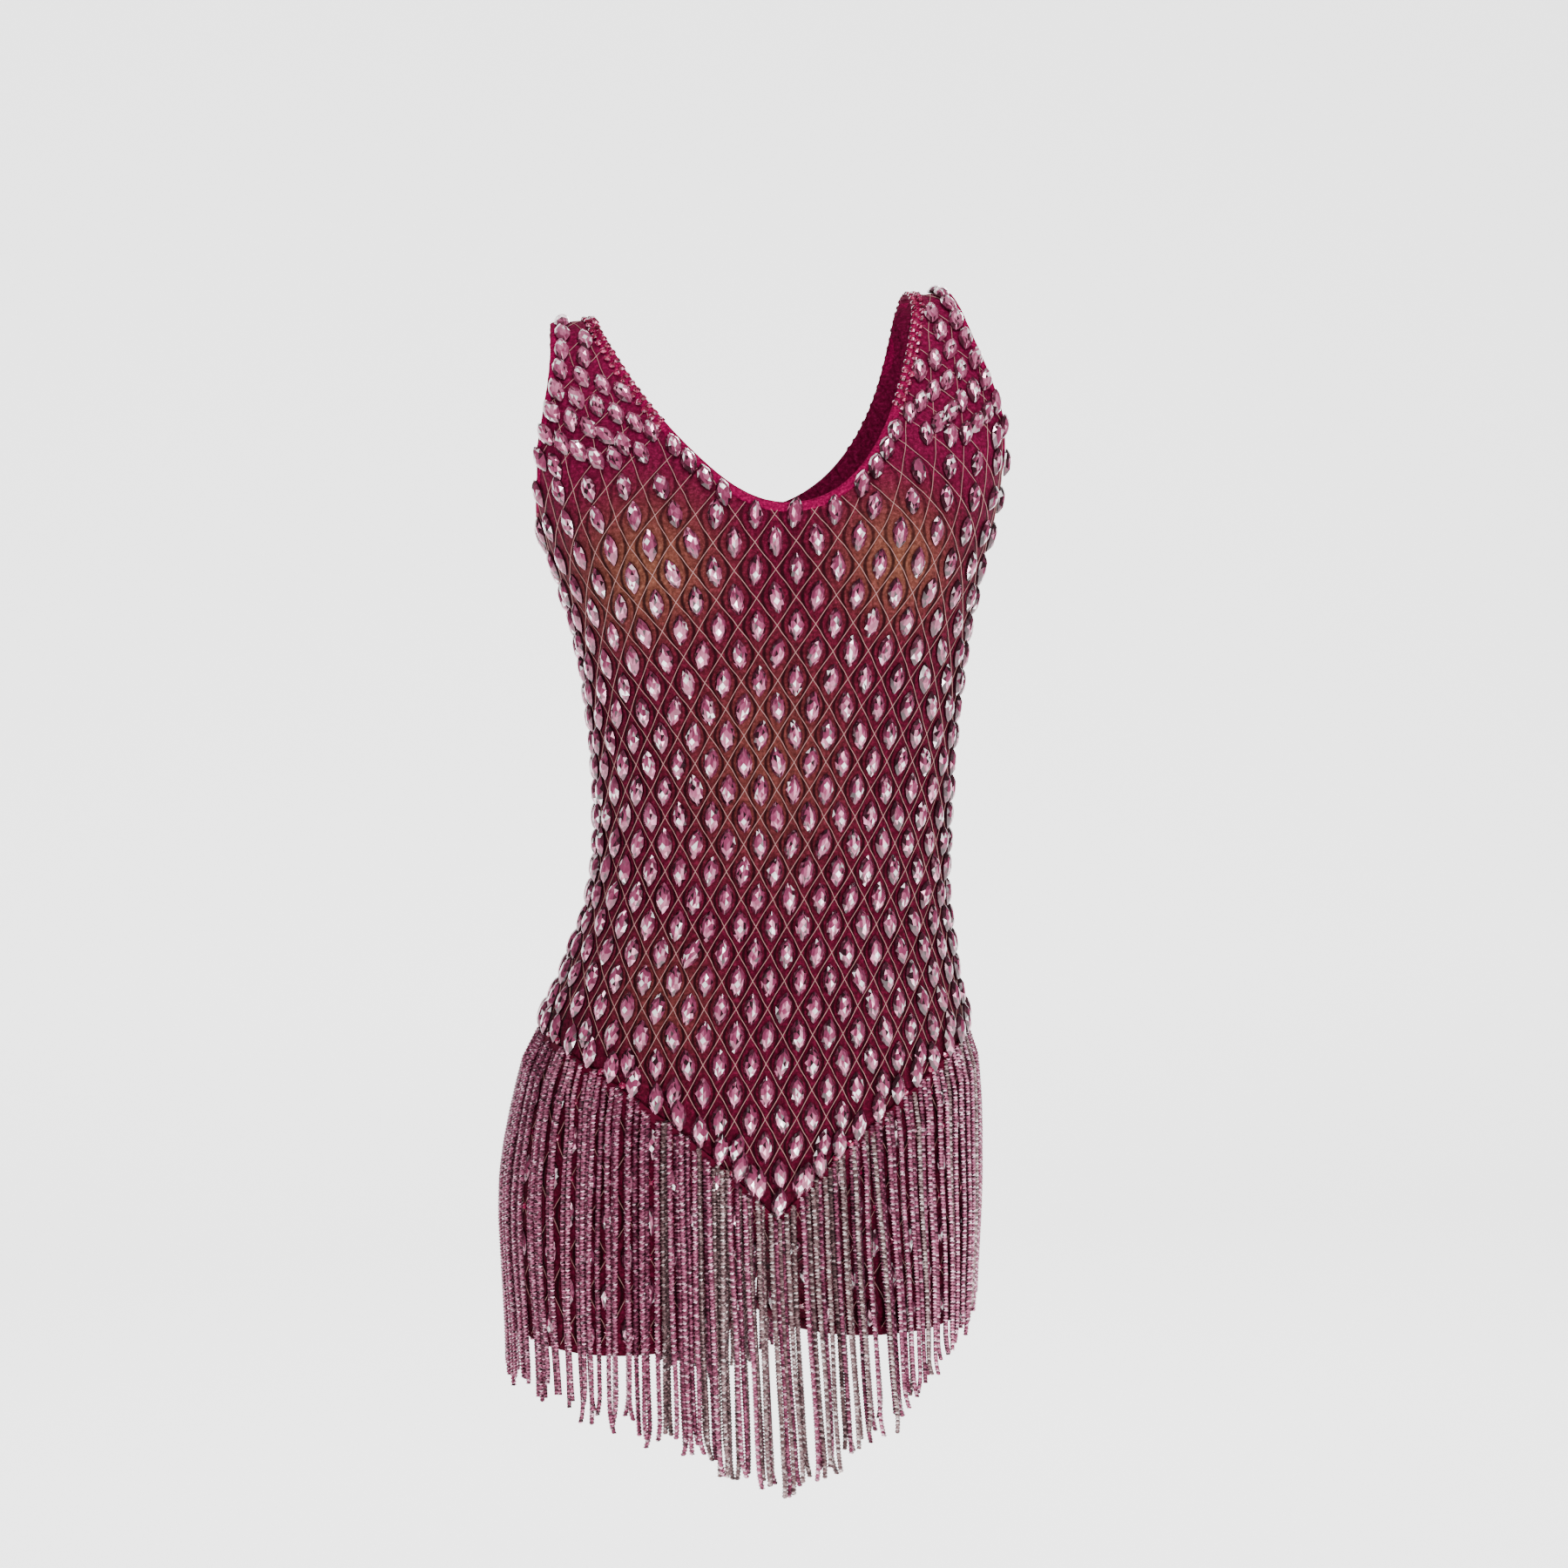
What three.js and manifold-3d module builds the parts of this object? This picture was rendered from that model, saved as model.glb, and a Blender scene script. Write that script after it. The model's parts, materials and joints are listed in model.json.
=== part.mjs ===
// A sleeveless stage jumpsuit with short legs and a fringe, kept in the hollow form in which it is worn.
// Millimetres, +Z up. The front faces -Y, and the wearer's left is +X. The origin lies midway between
// the two shoulder seams. Front and back meet at the plane y = 0: at the shoulders, the sides and the
// inner legs. A yoke line in the shape of a V, front and back, parts the body from the short legs, and
// the fringe hangs from a tape just under it. Each panel is a cloth wall whose outer face is a net of
// diamonds with one raised stone to a diamond.
import * as THREE from "three";
import { mergeVertices } from "three/addons/utils/BufferGeometryUtils.js";
import Module from "manifold-3d";

const wasm = await Module();
wasm.setup();

const FRONT = -1;
const BACK = 1;

const CLOTH = 1.6; // stretch mesh and net together
const SEAM_GAP = 0.3; // between pieces that are sewn together
const STONE_RISE = 3.8; // of a stone's tip over the cloth
const EDGE_CLEAR = 5; // a stone nearer than this to a cut edge lies flat

// The form: height of a section, its half width at the side seams, how far the front and the back
// stand out from the seam plane, and how square the section is (2 is an ellipse).
const SECTIONS = [
  { z: 0, half: 158, front: 0, back: 0, square: 5 },
  { z: -1.5, half: 158, front: 11, back: 11.5, square: 5 },
  { z: -7, half: 157.5, front: 24, back: 26, square: 5 },
  { z: -19, half: 157, front: 37, back: 40, square: 4.8 },
  { z: -40, half: 156, front: 50, back: 52, square: 4.5 },
  { z: -72, half: 153, front: 68, back: 64, square: 3.9 },
  { z: -108, half: 149, front: 88, back: 75, square: 3.1 },
  { z: -142, half: 142, front: 99, back: 82, square: 2.7 },
  { z: -170, half: 133, front: 101, back: 84, square: 2.5 },
  { z: -200, half: 125, front: 97, back: 83, square: 2.4 },
  { z: -240, half: 118.5, front: 90, back: 79, square: 2.3 },
  { z: -285, half: 113.5, front: 84, back: 75, square: 2.3 },
  { z: -335, half: 111.5, front: 81, back: 74, square: 2.3 },
  { z: -375, half: 113.5, front: 83, back: 80, square: 2.3 },
  { z: -410, half: 122, front: 87, back: 90, square: 2.3 },
  { z: -450, half: 133, front: 91, back: 102, square: 2.3 },
  { z: -495, half: 142, front: 93, back: 112, square: 2.3 },
  { z: -540, half: 147, front: 92, back: 114, square: 2.3 },
  { z: -585, half: 147, front: 90, back: 106, square: 2.3 },
  { z: -630, half: 143, front: 88, back: 95, square: 2.3 },
  { z: -690, half: 134, front: 86, back: 88, square: 2.3 },
];
const CUPS = { x: 76, z: -166, out: 11, wide: 40, high: 42 };
// The legs part between two heights. Their cloth starts at inner from the centre plane and falls
// behind the seam plane by drop within it, and stands out by full times the body's depth.
const LEGS = { splitTop: -562, splitEnd: -620, inner: 6, binding: 6.1, drop: 40, full: 0.89 };
const HEM = -635;

// The pose in which it is worn: the upper body bends sideways, towards the wearer's right, and the hips
// turn towards the wearer's left. Turns are degrees.
const POSE = [
  { z: 0, shift: 0, tilt: 0.12, turn: 0 },
  { z: -60, shift: 6.5, tilt: 0.11, turn: 0 },
  { z: -120, shift: 12.3, tilt: 0.092, turn: 0 },
  { z: -200, shift: 15, tilt: 0.055, turn: 0 },
  { z: -280, shift: 15.6, tilt: 0.018, turn: 0 },
  { z: -340, shift: 14.5, tilt: 0, turn: 0 },
  { z: -390, shift: 10.5, tilt: 0, turn: 0.5 },
  { z: -440, shift: 4.8, tilt: 0, turn: 2 },
  { z: -500, shift: 0, tilt: 0, turn: 4 },
  { z: -560, shift: -4, tilt: 0, turn: 5.5 },
  { z: -620, shift: -4.5, tilt: 0, turn: 5.5 },
  { z: -690, shift: -4.5, tilt: 0, turn: 5.5 },
];

// Neckline and armhole edges, as seen from the front: x is the half width at the height z.
const NECK_FRONT = [
  { x: 99, z: 0 },
  { x: 96, z: -17 },
  { x: 84, z: -50 },
  { x: 69, z: -81 },
  { x: 53, z: -106 },
  { x: 36, z: -125 },
  { x: 18, z: -136 },
  { x: 0, z: -139 },
];
const NECK_BACK = [
  { x: 99, z: 0 },
  { x: 97, z: -17 },
  { x: 88, z: -46 },
  { x: 74, z: -72 },
  { x: 56, z: -92 },
  { x: 37, z: -105 },
  { x: 18, z: -112 },
  { x: 0, z: -114 },
];
const ARM_UPPER = [
  { x: 126, z: 0 },
  { x: 128, z: -20 },
  { x: 132, z: -42 },
  { x: 138, z: -66 },
  { x: 144.5, z: -90 },
];
// The foot of the armhole, as seen from the side: 1 is under the upper edge's end, 0 the side seam.
const ARM_FOOT = [
  { share: 1, z: -90 },
  { share: 0.95, z: -99 },
  { share: 0.79, z: -109 },
  { share: 0.46, z: -117 },
  { share: 0, z: -120 },
];
const NECK_BINDING = 6;
const ARM_BINDING = 4;
const LEG_BINDING = 6;
const BINDING = { under: -1.0, over: 0.6 }; // its faces, measured from the cloth's outer face

// The net: one stone to a diamond, as wide as the row's pitch and two rows high.
const ROW_PITCH = 16.2;
const ROW_CLOSER = { by: 13, over: 5 }; // rows lie closer on the straps, by this in all
const PITCH = [
  { z: 0, across: 14.5 },
  { z: -50, across: 15.5 },
  { z: -90, across: 17.8 },
  { z: -128, across: 21.5 },
  { z: -165, across: 24.5 },
  { z: -215, across: 22.5 },
  { z: -270, across: 20 },
  { z: -330, across: 19 },
  { z: -400, across: 18.5 },
  { z: -480, across: 18.4 },
  { z: -700, across: 18.4 },
];
const COLUMNS = 16; // to each side of the centre line, more than any row takes
const LEG_NET = 1.35; // the legs lie under the fringe, so theirs is plain and of larger diamonds
const ROW_LEAN = { most: 0.45, bend: 50, from: 60, to: 230 }; // rows climb outwards over the chest

// The yoke line: height at the side seam and at the point of the V.
const YOKE = { side: -454, point: -557, power: 2 };

// The fringe's tape lies over the cloth, a little below the yoke line, from share to share along it.
const TAPE = { below: 0.8, high: 7, under: 0.5, over: 2.0, from: 0.006, to: 0.998, steps: 14 };
const STRANDS = 46; // to each quarter of the yoke line
const STRAND = { width: 3.0, tip: 1.2, spread: 5, root: 2.5, lift: 5.4, sway: 1.6 };
// How long the strands are, from the wearer's right side seam, through the centre, to the left one.
const STRAND_LENGTHS = [
  { share: -1, length: 214 },
  { share: -0.6, length: 208 },
  { share: -0.3, length: 187 },
  { share: -0.12, length: 174 },
  { share: 0, length: 162 },
  { share: 0.12, length: 172 },
  { share: 0.35, length: 178 },
  { share: 0.65, length: 176 },
  { share: 1, length: 180 },
];
const STRAND_WAVES = { sway: 0.06, swayBeat: 0.021, length: 1.9, lengthBeat: 0.43 }; // radians a mm
const STRAND_FALLS = [9, 90]; // heights under its root at which a strand may bend
const STRAND_BEND = 1.2; // it bends where the cloth stands out by more than this

// A smooth curve through a table's rows: read(at, column), with the rows in order of the key.
function smooth(rows, key) {
  return (at, column) => {
    const last = rows.length - 1;
    const descending = rows[last][key] < rows[0][key];
    let i = 0;
    while (i < last - 1 && (descending ? rows[i + 1][key] > at : rows[i + 1][key] < at)) {
      i += 1;
    }
    const slope = (k) => {
      const a = rows[Math.max(0, k - 1)];
      const b = rows[Math.min(last, k + 1)];
      return (b[column] - a[column]) / (b[key] - a[key]);
    };
    const span = rows[i + 1][key] - rows[i][key];
    const t = (at - rows[i][key]) / span;
    if (t < 0) {
      return rows[0][column] + slope(0) * (at - rows[0][key]);
    }
    if (t > 1) {
      return rows[last][column] + slope(last) * (at - rows[last][key]);
    }
    const fromStart = (1 + 2 * t) * (1 - t) ** 2 * rows[i][column] + t * (1 - t) ** 2 * span * slope(i);
    const fromEnd = t * t * (3 - 2 * t) * rows[i + 1][column] - t * t * (1 - t) * span * slope(i + 1);
    return fromStart + fromEnd;
  };
}

const smoothstep = (a, b, x) => THREE.MathUtils.smoothstep((x - a) / (b - a), 0, 1);

// v is the length down the cloth from the shoulder seam, along a line midway between front and back.
let run = 0;
SECTIONS.forEach((row, i) => {
  if (i > 0) {
    const above = SECTIONS[i - 1];
    const out = (row.front + row.back - above.front - above.back) / 2;
    run += Math.hypot(out, row.z - above.z);
  }
  row.v = run;
});
const section = smooth(SECTIONS, "v");
const pose = smooth(POSE, "z");
const pitch = smooth(PITCH, "z");
const strandLength = smooth(STRAND_LENGTHS, "share");

const heightAt = (v) => section(v, "z");

function downTo(z) {
  let low = 0;
  let high = run;
  for (let k = 0; k < 40; k += 1) {
    const mid = (low + high) / 2;
    if (heightAt(mid) > z) {
      low = mid;
    } else {
      high = mid;
    }
  }
  return (low + high) / 2;
}

// One quarter of a section, from the centre line to the side seam, with the length along it.
const QUARTER_STEPS = 72;
const quarters = new Map();
function quarter(side, v) {
  const name = `${side} ${v.toFixed(4)}`;
  if (!quarters.has(name)) {
    const half = section(v, "half");
    const depth = section(v, side === FRONT ? "front" : "back");
    const power = 2 / section(v, "square");
    const points = [];
    for (let k = 0; k <= QUARTER_STEPS; k += 1) {
      const turn = ((k / QUARTER_STEPS) * Math.PI) / 2;
      const x = half * Math.sin(turn) ** power;
      const out = depth * Math.max(0, Math.cos(turn)) ** power;
      const before = points[k - 1];
      const along = before ? before.along + Math.hypot(x - before.x, out - before.out) : 0;
      points.push({ x, out, along });
    }
    quarters.set(name, points);
  }
  return quarters.get(name);
}

const quarterLength = (side, v) => quarter(side, v)[QUARTER_STEPS].along;

// The point of a quarter at which one of its columns reaches a value.
function quarterPoint(side, v, column, value) {
  const points = quarter(side, v);
  const rising = column !== "out";
  let k = 1;
  while (k < QUARTER_STEPS && (rising ? points[k][column] < value : points[k][column] > value)) {
    k += 1;
  }
  const a = points[k - 1];
  const b = points[k];
  const t = (value - a[column]) / (b[column] - a[column]);
  return {
    x: a.x + t * (b.x - a.x),
    out: a.out + t * (b.out - a.out),
    along: a.along + t * (b.along - a.along),
  };
}

// How far a leg's cloth stands out from the seam plane; between the legs it falls behind that plane.
function legOut(x, half, depth) {
  if (x < LEGS.inner) {
    return -LEGS.drop * (1 - x / LEGS.inner);
  }
  const centre = (half + LEGS.inner) / 2;
  const off = Math.min(1, Math.abs(x - centre) / (half - centre));
  return LEGS.full * depth * Math.sqrt(1 - off ** 2.2);
}

// A point of the cloth's outer face: u is the length round from the centre line, v the length down.
function clothPoint(side, u, v) {
  const z = heightAt(v);
  const reach = quarterLength(side, v);
  const beyond = Math.abs(u) - reach;
  if (beyond >= 0) {
    return new THREE.Vector3(Math.sign(u) * section(v, "half"), -side * beyond, z);
  }
  const at = quarterPoint(side, v, "along", Math.abs(u));
  let out = at.out;
  if (side === FRONT) {
    out += CUPS.out * Math.exp(-(((at.x - CUPS.x) / CUPS.wide) ** 2) - ((z - CUPS.z) / CUPS.high) ** 2);
  }
  const legs = smoothstep(-LEGS.splitTop, -LEGS.splitEnd, -z);
  if (legs > 0) {
    const depth = section(v, side === FRONT ? "front" : "back");
    out += legs * (legOut(at.x, section(v, "half"), depth) - out);
  }
  return new THREE.Vector3(Math.sign(u) * at.x, side * out, z);
}

const NUDGE = 0.8;
function clothNormal(side, u, v) {
  const round = clothPoint(side, u + NUDGE, v).sub(clothPoint(side, u - NUDGE, v));
  const down = clothPoint(side, u, v + NUDGE).sub(clothPoint(side, u, v - NUDGE));
  return round.cross(down).multiplyScalar(side).normalize();
}

// A point over (or, with a lift below 0, under) the cloth's outer face.
function cloth(side, u, v, lift = 0) {
  return clothPoint(side, u, v).addScaledVector(clothNormal(side, u, v), lift);
}

// A place or a direction on the form, turned round the upright axis as the pose is at a height.
const UPRIGHT = new THREE.Vector3(0, 0, 1);
function turned(p, z) {
  return p.clone().applyAxisAngle(UPRIGHT, THREE.MathUtils.degToRad(pose(z, "turn")));
}

function posed(p) {
  const { x, y } = turned(p, p.z);
  return new THREE.Vector3(x + pose(p.z, "shift"), y, p.z + pose(p.z, "tilt") * x);
}

// The yoke line at a share of the way from the centre line (0) to the side seam (1).
function yokeHeight(share) {
  return YOKE.side + (YOKE.point - YOKE.side) * (1 - Math.abs(share)) ** YOKE.power;
}

function yokeAt(side, share, below = 0) {
  const v = downTo(yokeHeight(share)) + below;
  return { v, u: share * quarterLength(side, v) };
}

function solidFrom(positions, triangles) {
  return new wasm.Manifold(
    new wasm.Mesh({
      numProp: 3,
      vertProperties: new Float32Array(positions),
      triVerts: new Uint32Array(triangles),
    }),
  );
}

function solidOf(geometry) {
  geometry.deleteAttribute("normal");
  geometry.deleteAttribute("uv");
  const merged = mergeVertices(geometry, 1e-4);
  return solidFrom(merged.attributes.position.array, merged.index.array);
}

function largest(solid) {
  return solid.decompose().reduce((a, b) => (a.volume() > b.volume() ? a : b));
}

function geometryOf(solid, place) {
  const mesh = solid.getMesh();
  const positions = [];
  for (let i = 0; i < mesh.vertProperties.length; i += mesh.numProp) {
    const p = new THREE.Vector3().fromArray(mesh.vertProperties, i);
    positions.push(...place(p).toArray());
  }
  const geometry = new THREE.BufferGeometry();
  geometry.setAttribute("position", new THREE.Float32BufferAttribute(positions, 3));
  geometry.setIndex(Array.from(mesh.triVerts));
  return geometry;
}

const FAR = 400; // past the garment sideways, to the front and back, and above
const DEEP = -800; // below it

// A cutter whose outline is drawn in x and z and runs along y.
function cutterAlongY(outline, yLow, yHigh) {
  const shape = new THREE.Shape(outline.map((p) => new THREE.Vector2(p.x, p.z)));
  const body = new THREE.ExtrudeGeometry(shape, { depth: yHigh - yLow, bevelEnabled: false });
  body.applyMatrix4(new THREE.Matrix4().set(1, 0, 0, 0, 0, 0, -1, yHigh, 0, 1, 0, 0, 0, 0, 0, 1));
  return solidOf(body);
}

// A cutter whose outline is drawn in y and z and runs along x.
function cutterAlongX(outline, xLow, xHigh) {
  const shape = new THREE.Shape(outline.map((p) => new THREE.Vector2(p.y, p.z)));
  const body = new THREE.ExtrudeGeometry(shape, { depth: xHigh - xLow, bevelEnabled: false });
  body.applyMatrix4(new THREE.Matrix4().set(0, 0, 1, xLow, 1, 0, 0, 0, 0, 1, 0, 0, 0, 0, 0, 1));
  return solidOf(body);
}

function box(low, high) {
  const size = high.clone().sub(low);
  const body = new THREE.BoxGeometry(size.x, size.y, size.z);
  body.translate((low.x + high.x) / 2, (low.y + high.y) / 2, (low.z + high.z) / 2);
  return solidOf(body);
}

// An edge table with more points between its rows, moved sideways to leave room for a binding.
function edgeCurve(rows, column, steps, margin = 0) {
  const curve = new THREE.CatmullRomCurve3(rows.map((r) => new THREE.Vector3(r[column], 0, r.z)));
  return curve.getPoints(steps).map((p, i) => {
    const ahead = curve.getTangent(i / steps);
    return { [column]: p.x - ahead.z * margin, z: p.z + ahead.x * margin };
  });
}

const NECK_STEPS = 17;
const ARM_STEPS = { upper: 9, foot: 7 };
const ARM_SLOT = 100; // the armhole's foot is cut from here outwards

function neckCutter(rows) {
  const margin = NECK_BINDING + SEAM_GAP;
  const right = edgeCurve(rows, "x", NECK_STEPS, margin).slice(0, -1);
  const left = right.map((p) => ({ x: -p.x, z: p.z })).reverse();
  const foot = { x: 0, z: rows[rows.length - 1].z - margin };
  const top = [
    { x: -right[0].x, z: FAR },
    { x: right[0].x, z: FAR },
  ];
  return cutterAlongY([...top, ...right, foot, ...left], -FAR, FAR);
}

// The armhole's foot on one side, with out the distance from the side seam.
function armFoot(side) {
  const end = ARM_UPPER[ARM_UPPER.length - 1];
  const { out } = quarterPoint(side, downTo(end.z), "x", end.x);
  return ARM_FOOT.map((row) => ({ out: row.share * out, z: row.z }));
}

function armCutters() {
  const margin = ARM_BINDING + SEAM_GAP;
  const upper = edgeCurve(ARM_UPPER, "x", ARM_STEPS.upper, -margin);
  const end = upper[upper.length - 1];
  const outline = [...upper, { x: FAR, z: end.z }, { x: FAR, z: FAR }, { x: upper[0].x, z: FAR }];
  const mirrored = outline.map((p) => ({ x: -p.x, z: p.z })).reverse();
  const foot = (side) => edgeCurve(armFoot(side), "out", ARM_STEPS.foot, margin)
    .map((p) => ({ y: side * p.out, z: p.z }));
  const fore = foot(FRONT);
  const aft = foot(BACK).reverse();
  const slot = [...fore, ...aft.slice(1), { y: aft[aft.length - 1].y, z: end.z + 1 },
    { y: fore[0].y, z: end.z + 1 }];
  return [
    cutterAlongY(outline, -FAR, FAR),
    cutterAlongY(mirrored, -FAR, FAR),
    cutterAlongX(slot, ARM_SLOT, FAR),
    cutterAlongX(slot, -FAR, -ARM_SLOT),
  ];
}

// All that lies under the yoke line of one side, less a gap.
const YOKE_STEPS = 28;
function belowYoke(side, gap) {
  const line = [];
  for (let k = -YOKE_STEPS; k <= YOKE_STEPS; k += 1) {
    const { u, v } = yokeAt(side, k / YOKE_STEPS);
    const p = clothPoint(side, u, v);
    line.push({ x: p.x, z: p.z - gap });
  }
  const edge = line[0].z;
  return cutterAlongY([{ x: -FAR, z: DEEP }, { x: FAR, z: DEEP }, { x: FAR, z: edge },
    ...line.reverse(), { x: -FAR, z: edge }], -FAR, FAR);
}

// The length round and down of a place in the net: column and row may be halves and wholes.
function netPlace(column, row, size) {
  const level = (row * ROW_PITCH - ROW_CLOSER.by * (1 - Math.exp(-row / ROW_CLOSER.over))) * size;
  const u = column * pitch(heightAt(level), "across") * size;
  const lean = ROW_LEAN.most * (1 - smoothstep(ROW_LEAN.from, ROW_LEAN.to, level));
  return { u, v: level - lean * (Math.hypot(u, ROW_LEAN.bend) - ROW_LEAN.bend) };
}

// Distance from a point to an edge table, on the side where the cloth lies.
function nearEdge(rows, column, value, z) {
  let least = Infinity;
  for (const p of edgeCurve(rows, column, NECK_STEPS)) {
    least = Math.min(least, Math.hypot(value - p[column], z - p.z));
  }
  return least;
}

function stoneFits(side, place) {
  const p = clothPoint(side, place.u, place.v);
  const x = Math.abs(p.x);
  const reach = quarterLength(side, place.v);
  if (Math.abs(place.u) > reach - EDGE_CLEAR || place.v < EDGE_CLEAR) {
    return false;
  }
  const neck = side === FRONT ? NECK_FRONT : NECK_BACK;
  if (nearEdge(neck, "x", x, p.z) < NECK_BINDING + EDGE_CLEAR) {
    return false;
  }
  if (nearEdge(ARM_UPPER, "x", x, p.z) < ARM_BINDING + EDGE_CLEAR) {
    return false;
  }
  return place.v < downTo(yokeHeight(place.u / reach)) - EDGE_CLEAR;
}

// A wall of cloth over the diamonds that wanted() takes, with a raised stone where raised() allows.
function netWall(side, size, wanted, raised) {
  const positions = [];
  const triangles = [];
  const edges = new Map();
  const corners = new Map();
  const add = (p) => positions.push(...p.toArray()) / 3 - 1;
  const corner = (column, row) => {
    const name = `${column} ${row}`;
    if (!corners.has(name)) {
      const { u, v } = netPlace(column, row, size);
      corners.set(name, { outer: add(cloth(side, u, v)), inner: add(cloth(side, u, v, -CLOTH)) });
    }
    return corners.get(name);
  };
  const face = (a, b, c) => triangles.push(...(side === FRONT ? [a, b, c] : [a, c, b]));
  const rows = Math.floor((run + ROW_CLOSER.by) / (ROW_PITCH * size));
  for (let row = 0; row <= rows; row += 1) {
    for (let step = -COLUMNS; step <= COLUMNS; step += 1) {
      const column = step + (row % 2) / 2;
      const place = netPlace(column, row, size);
      if (!wanted(place)) {
        continue;
      }
      const loop = [corner(column, row - 1), corner(column - 0.5, row),
        corner(column, row + 1), corner(column + 0.5, row)];
      const stone = raised(side, place);
      const tip = stone ? add(cloth(side, place.u, place.v, STONE_RISE)) : 0;
      if (!stone) {
        face(loop[0].outer, loop[1].outer, loop[2].outer);
        face(loop[0].outer, loop[2].outer, loop[3].outer);
      }
      loop.forEach((a, i) => {
        const b = loop[(i + 1) % 4];
        if (stone) {
          face(a.outer, b.outer, tip);
        }
        const back = `${b.outer} ${a.outer}`;
        if (edges.has(back)) {
          edges.delete(back);
        } else {
          edges.set(`${a.outer} ${b.outer}`, [a, b]);
        }
      });
      face(loop[0].inner, loop[2].inner, loop[1].inner);
      face(loop[0].inner, loop[3].inner, loop[2].inner);
    }
  }
  for (const [a, b] of edges.values()) {
    face(b.outer, a.outer, a.inner);
    face(b.outer, a.inner, b.inner);
  }
  return solidFrom(positions, triangles);
}

const SPARE = 14; // cloth that stands past an edge before it is cut
const SHOULDER = { down: 40, across: 140 }; // within this height the cloth is cut at the armhole

function sideOfSeam(side) {
  const near = SEAM_GAP / 2;
  return side === FRONT
    ? box(new THREE.Vector3(-FAR, -FAR, DEEP), new THREE.Vector3(FAR, -near, FAR))
    : box(new THREE.Vector3(-FAR, near, DEEP), new THREE.Vector3(FAR, FAR, FAR));
}

function bodyPanel(side) {
  const wanted = ({ u, v }) => {
    const reach = quarterLength(side, Math.max(0, v));
    const share = Math.min(1, Math.abs(u) / reach);
    const wide = Math.abs(u) < (v < SHOULDER.down ? SHOULDER.across : reach + SPARE);
    return v > -SPARE && wide && v < downTo(yokeHeight(share)) + 2 * SPARE;
  };
  const wall = netWall(side, 1, wanted, stoneFits);
  const neck = neckCutter(side === FRONT ? NECK_FRONT : NECK_BACK);
  let panel = wall.intersect(sideOfSeam(side)).subtract(neck);
  for (const cutter of armCutters()) {
    panel = panel.subtract(cutter);
  }
  return largest(panel.subtract(belowYoke(side, -SEAM_GAP / 2)));
}

function legPanel(side, hand) {
  const wanted = ({ u, v }) => {
    const reach = quarterLength(side, v);
    const share = Math.min(1, Math.abs(u) / reach);
    const near = hand * u > -SPARE && Math.abs(u) < reach + SPARE;
    return near && v > downTo(yokeHeight(share)) - 2 * SPARE && heightAt(v) > HEM - 2 * SPARE;
  };
  const wall = netWall(side, LEG_NET, wanted, () => false);
  const near = SEAM_GAP / 2;
  const low = new THREE.Vector3(hand > 0 ? near : -FAR, -FAR, HEM + LEG_BINDING + SEAM_GAP);
  const half = box(low, new THREE.Vector3(hand > 0 ? FAR : -near, FAR, FAR));
  return largest(wall.intersect(sideOfSeam(side)).intersect(half).intersect(belowYoke(side, near)));
}

// A band of cloth through frames, each with a point, a direction out and a direction into the cloth.
function band(frames, width, under, over, closed) {
  const positions = [];
  const triangles = [];
  for (const f of frames) {
    const far = f.point.clone().addScaledVector(f.into, width);
    for (const [edge, lift] of [[f.point, under], [far, under], [far, over], [f.point, over]]) {
      positions.push(...posed(edge.clone().addScaledVector(f.out, lift)).toArray());
    }
  }
  const quad = (a, b, c, d) => triangles.push(a, b, c, a, c, d);
  const count = frames.length;
  for (let k = 0; k < (closed ? count : count - 1); k += 1) {
    const next = ((k + 1) % count) * 4;
    for (let e = 0; e < 4; e += 1) {
      const f = (e + 1) % 4;
      quad(k * 4 + e, k * 4 + f, next + f, next + e);
    }
  }
  if (!closed) {
    const end = (count - 1) * 4;
    quad(3, 2, 1, 0);
    quad(end, end + 1, end + 2, end + 3);
  }
  const solid = solidFrom(positions, triangles);
  return solid.volume() > 0 ? solid : solidFrom(positions, triangles.reverse());
}

// Frames along places on the cloth. turn is 1 where the cloth lies to the right of the way they run.
function framesAlong(places, turn, closed) {
  const points = places.map(({ side, u, v }) => clothPoint(side, u, v));
  const count = points.length;
  return points.map((point, k) => {
    const before = points[closed ? (k + count - 1) % count : Math.max(0, k - 1)];
    const after = points[closed ? (k + 1) % count : Math.min(count - 1, k + 1)];
    const { side, u, v } = places[k];
    const out = clothNormal(side, u, v);
    const into = after.clone().sub(before).cross(out).multiplyScalar(turn).normalize();
    return { point, out, into };
  });
}

function placeAt(side, hand, column, value, z) {
  const v = downTo(z);
  return { side, v, u: hand * quarterPoint(side, v, column, value).along };
}

function neckBinding() {
  const half = (side, rows) => {
    const right = edgeCurve(rows, "x", NECK_STEPS)
      .map((p) => placeAt(side, 1, "x", Math.max(p.x, 0.01), p.z));
    const left = right.slice(0, -1).map((p) => ({ ...p, u: -p.u }));
    return [...left, ...right.reverse()];
  };
  const front = half(FRONT, NECK_FRONT);
  const back = half(BACK, NECK_BACK).reverse();
  const loop = [...front, ...back.slice(1, -1)];
  return band(framesAlong(loop, 1, true), NECK_BINDING, BINDING.under, BINDING.over, true);
}

function armBinding(hand) {
  const half = (side) => [
    ...edgeCurve(ARM_UPPER, "x", ARM_STEPS.upper).map((p) => placeAt(side, hand, "x", p.x, p.z)),
    ...edgeCurve(armFoot(side), "out", ARM_STEPS.foot).slice(1)
      .map((p) => placeAt(side, hand, "out", Math.max(p.out, 0), p.z)),
  ];
  const back = half(BACK).reverse();
  const loop = [...half(FRONT), ...back.slice(1, -1)];
  return band(framesAlong(loop, hand, true), ARM_BINDING, BINDING.under, BINDING.over, true);
}

const LEG_STEPS = 12;

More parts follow.
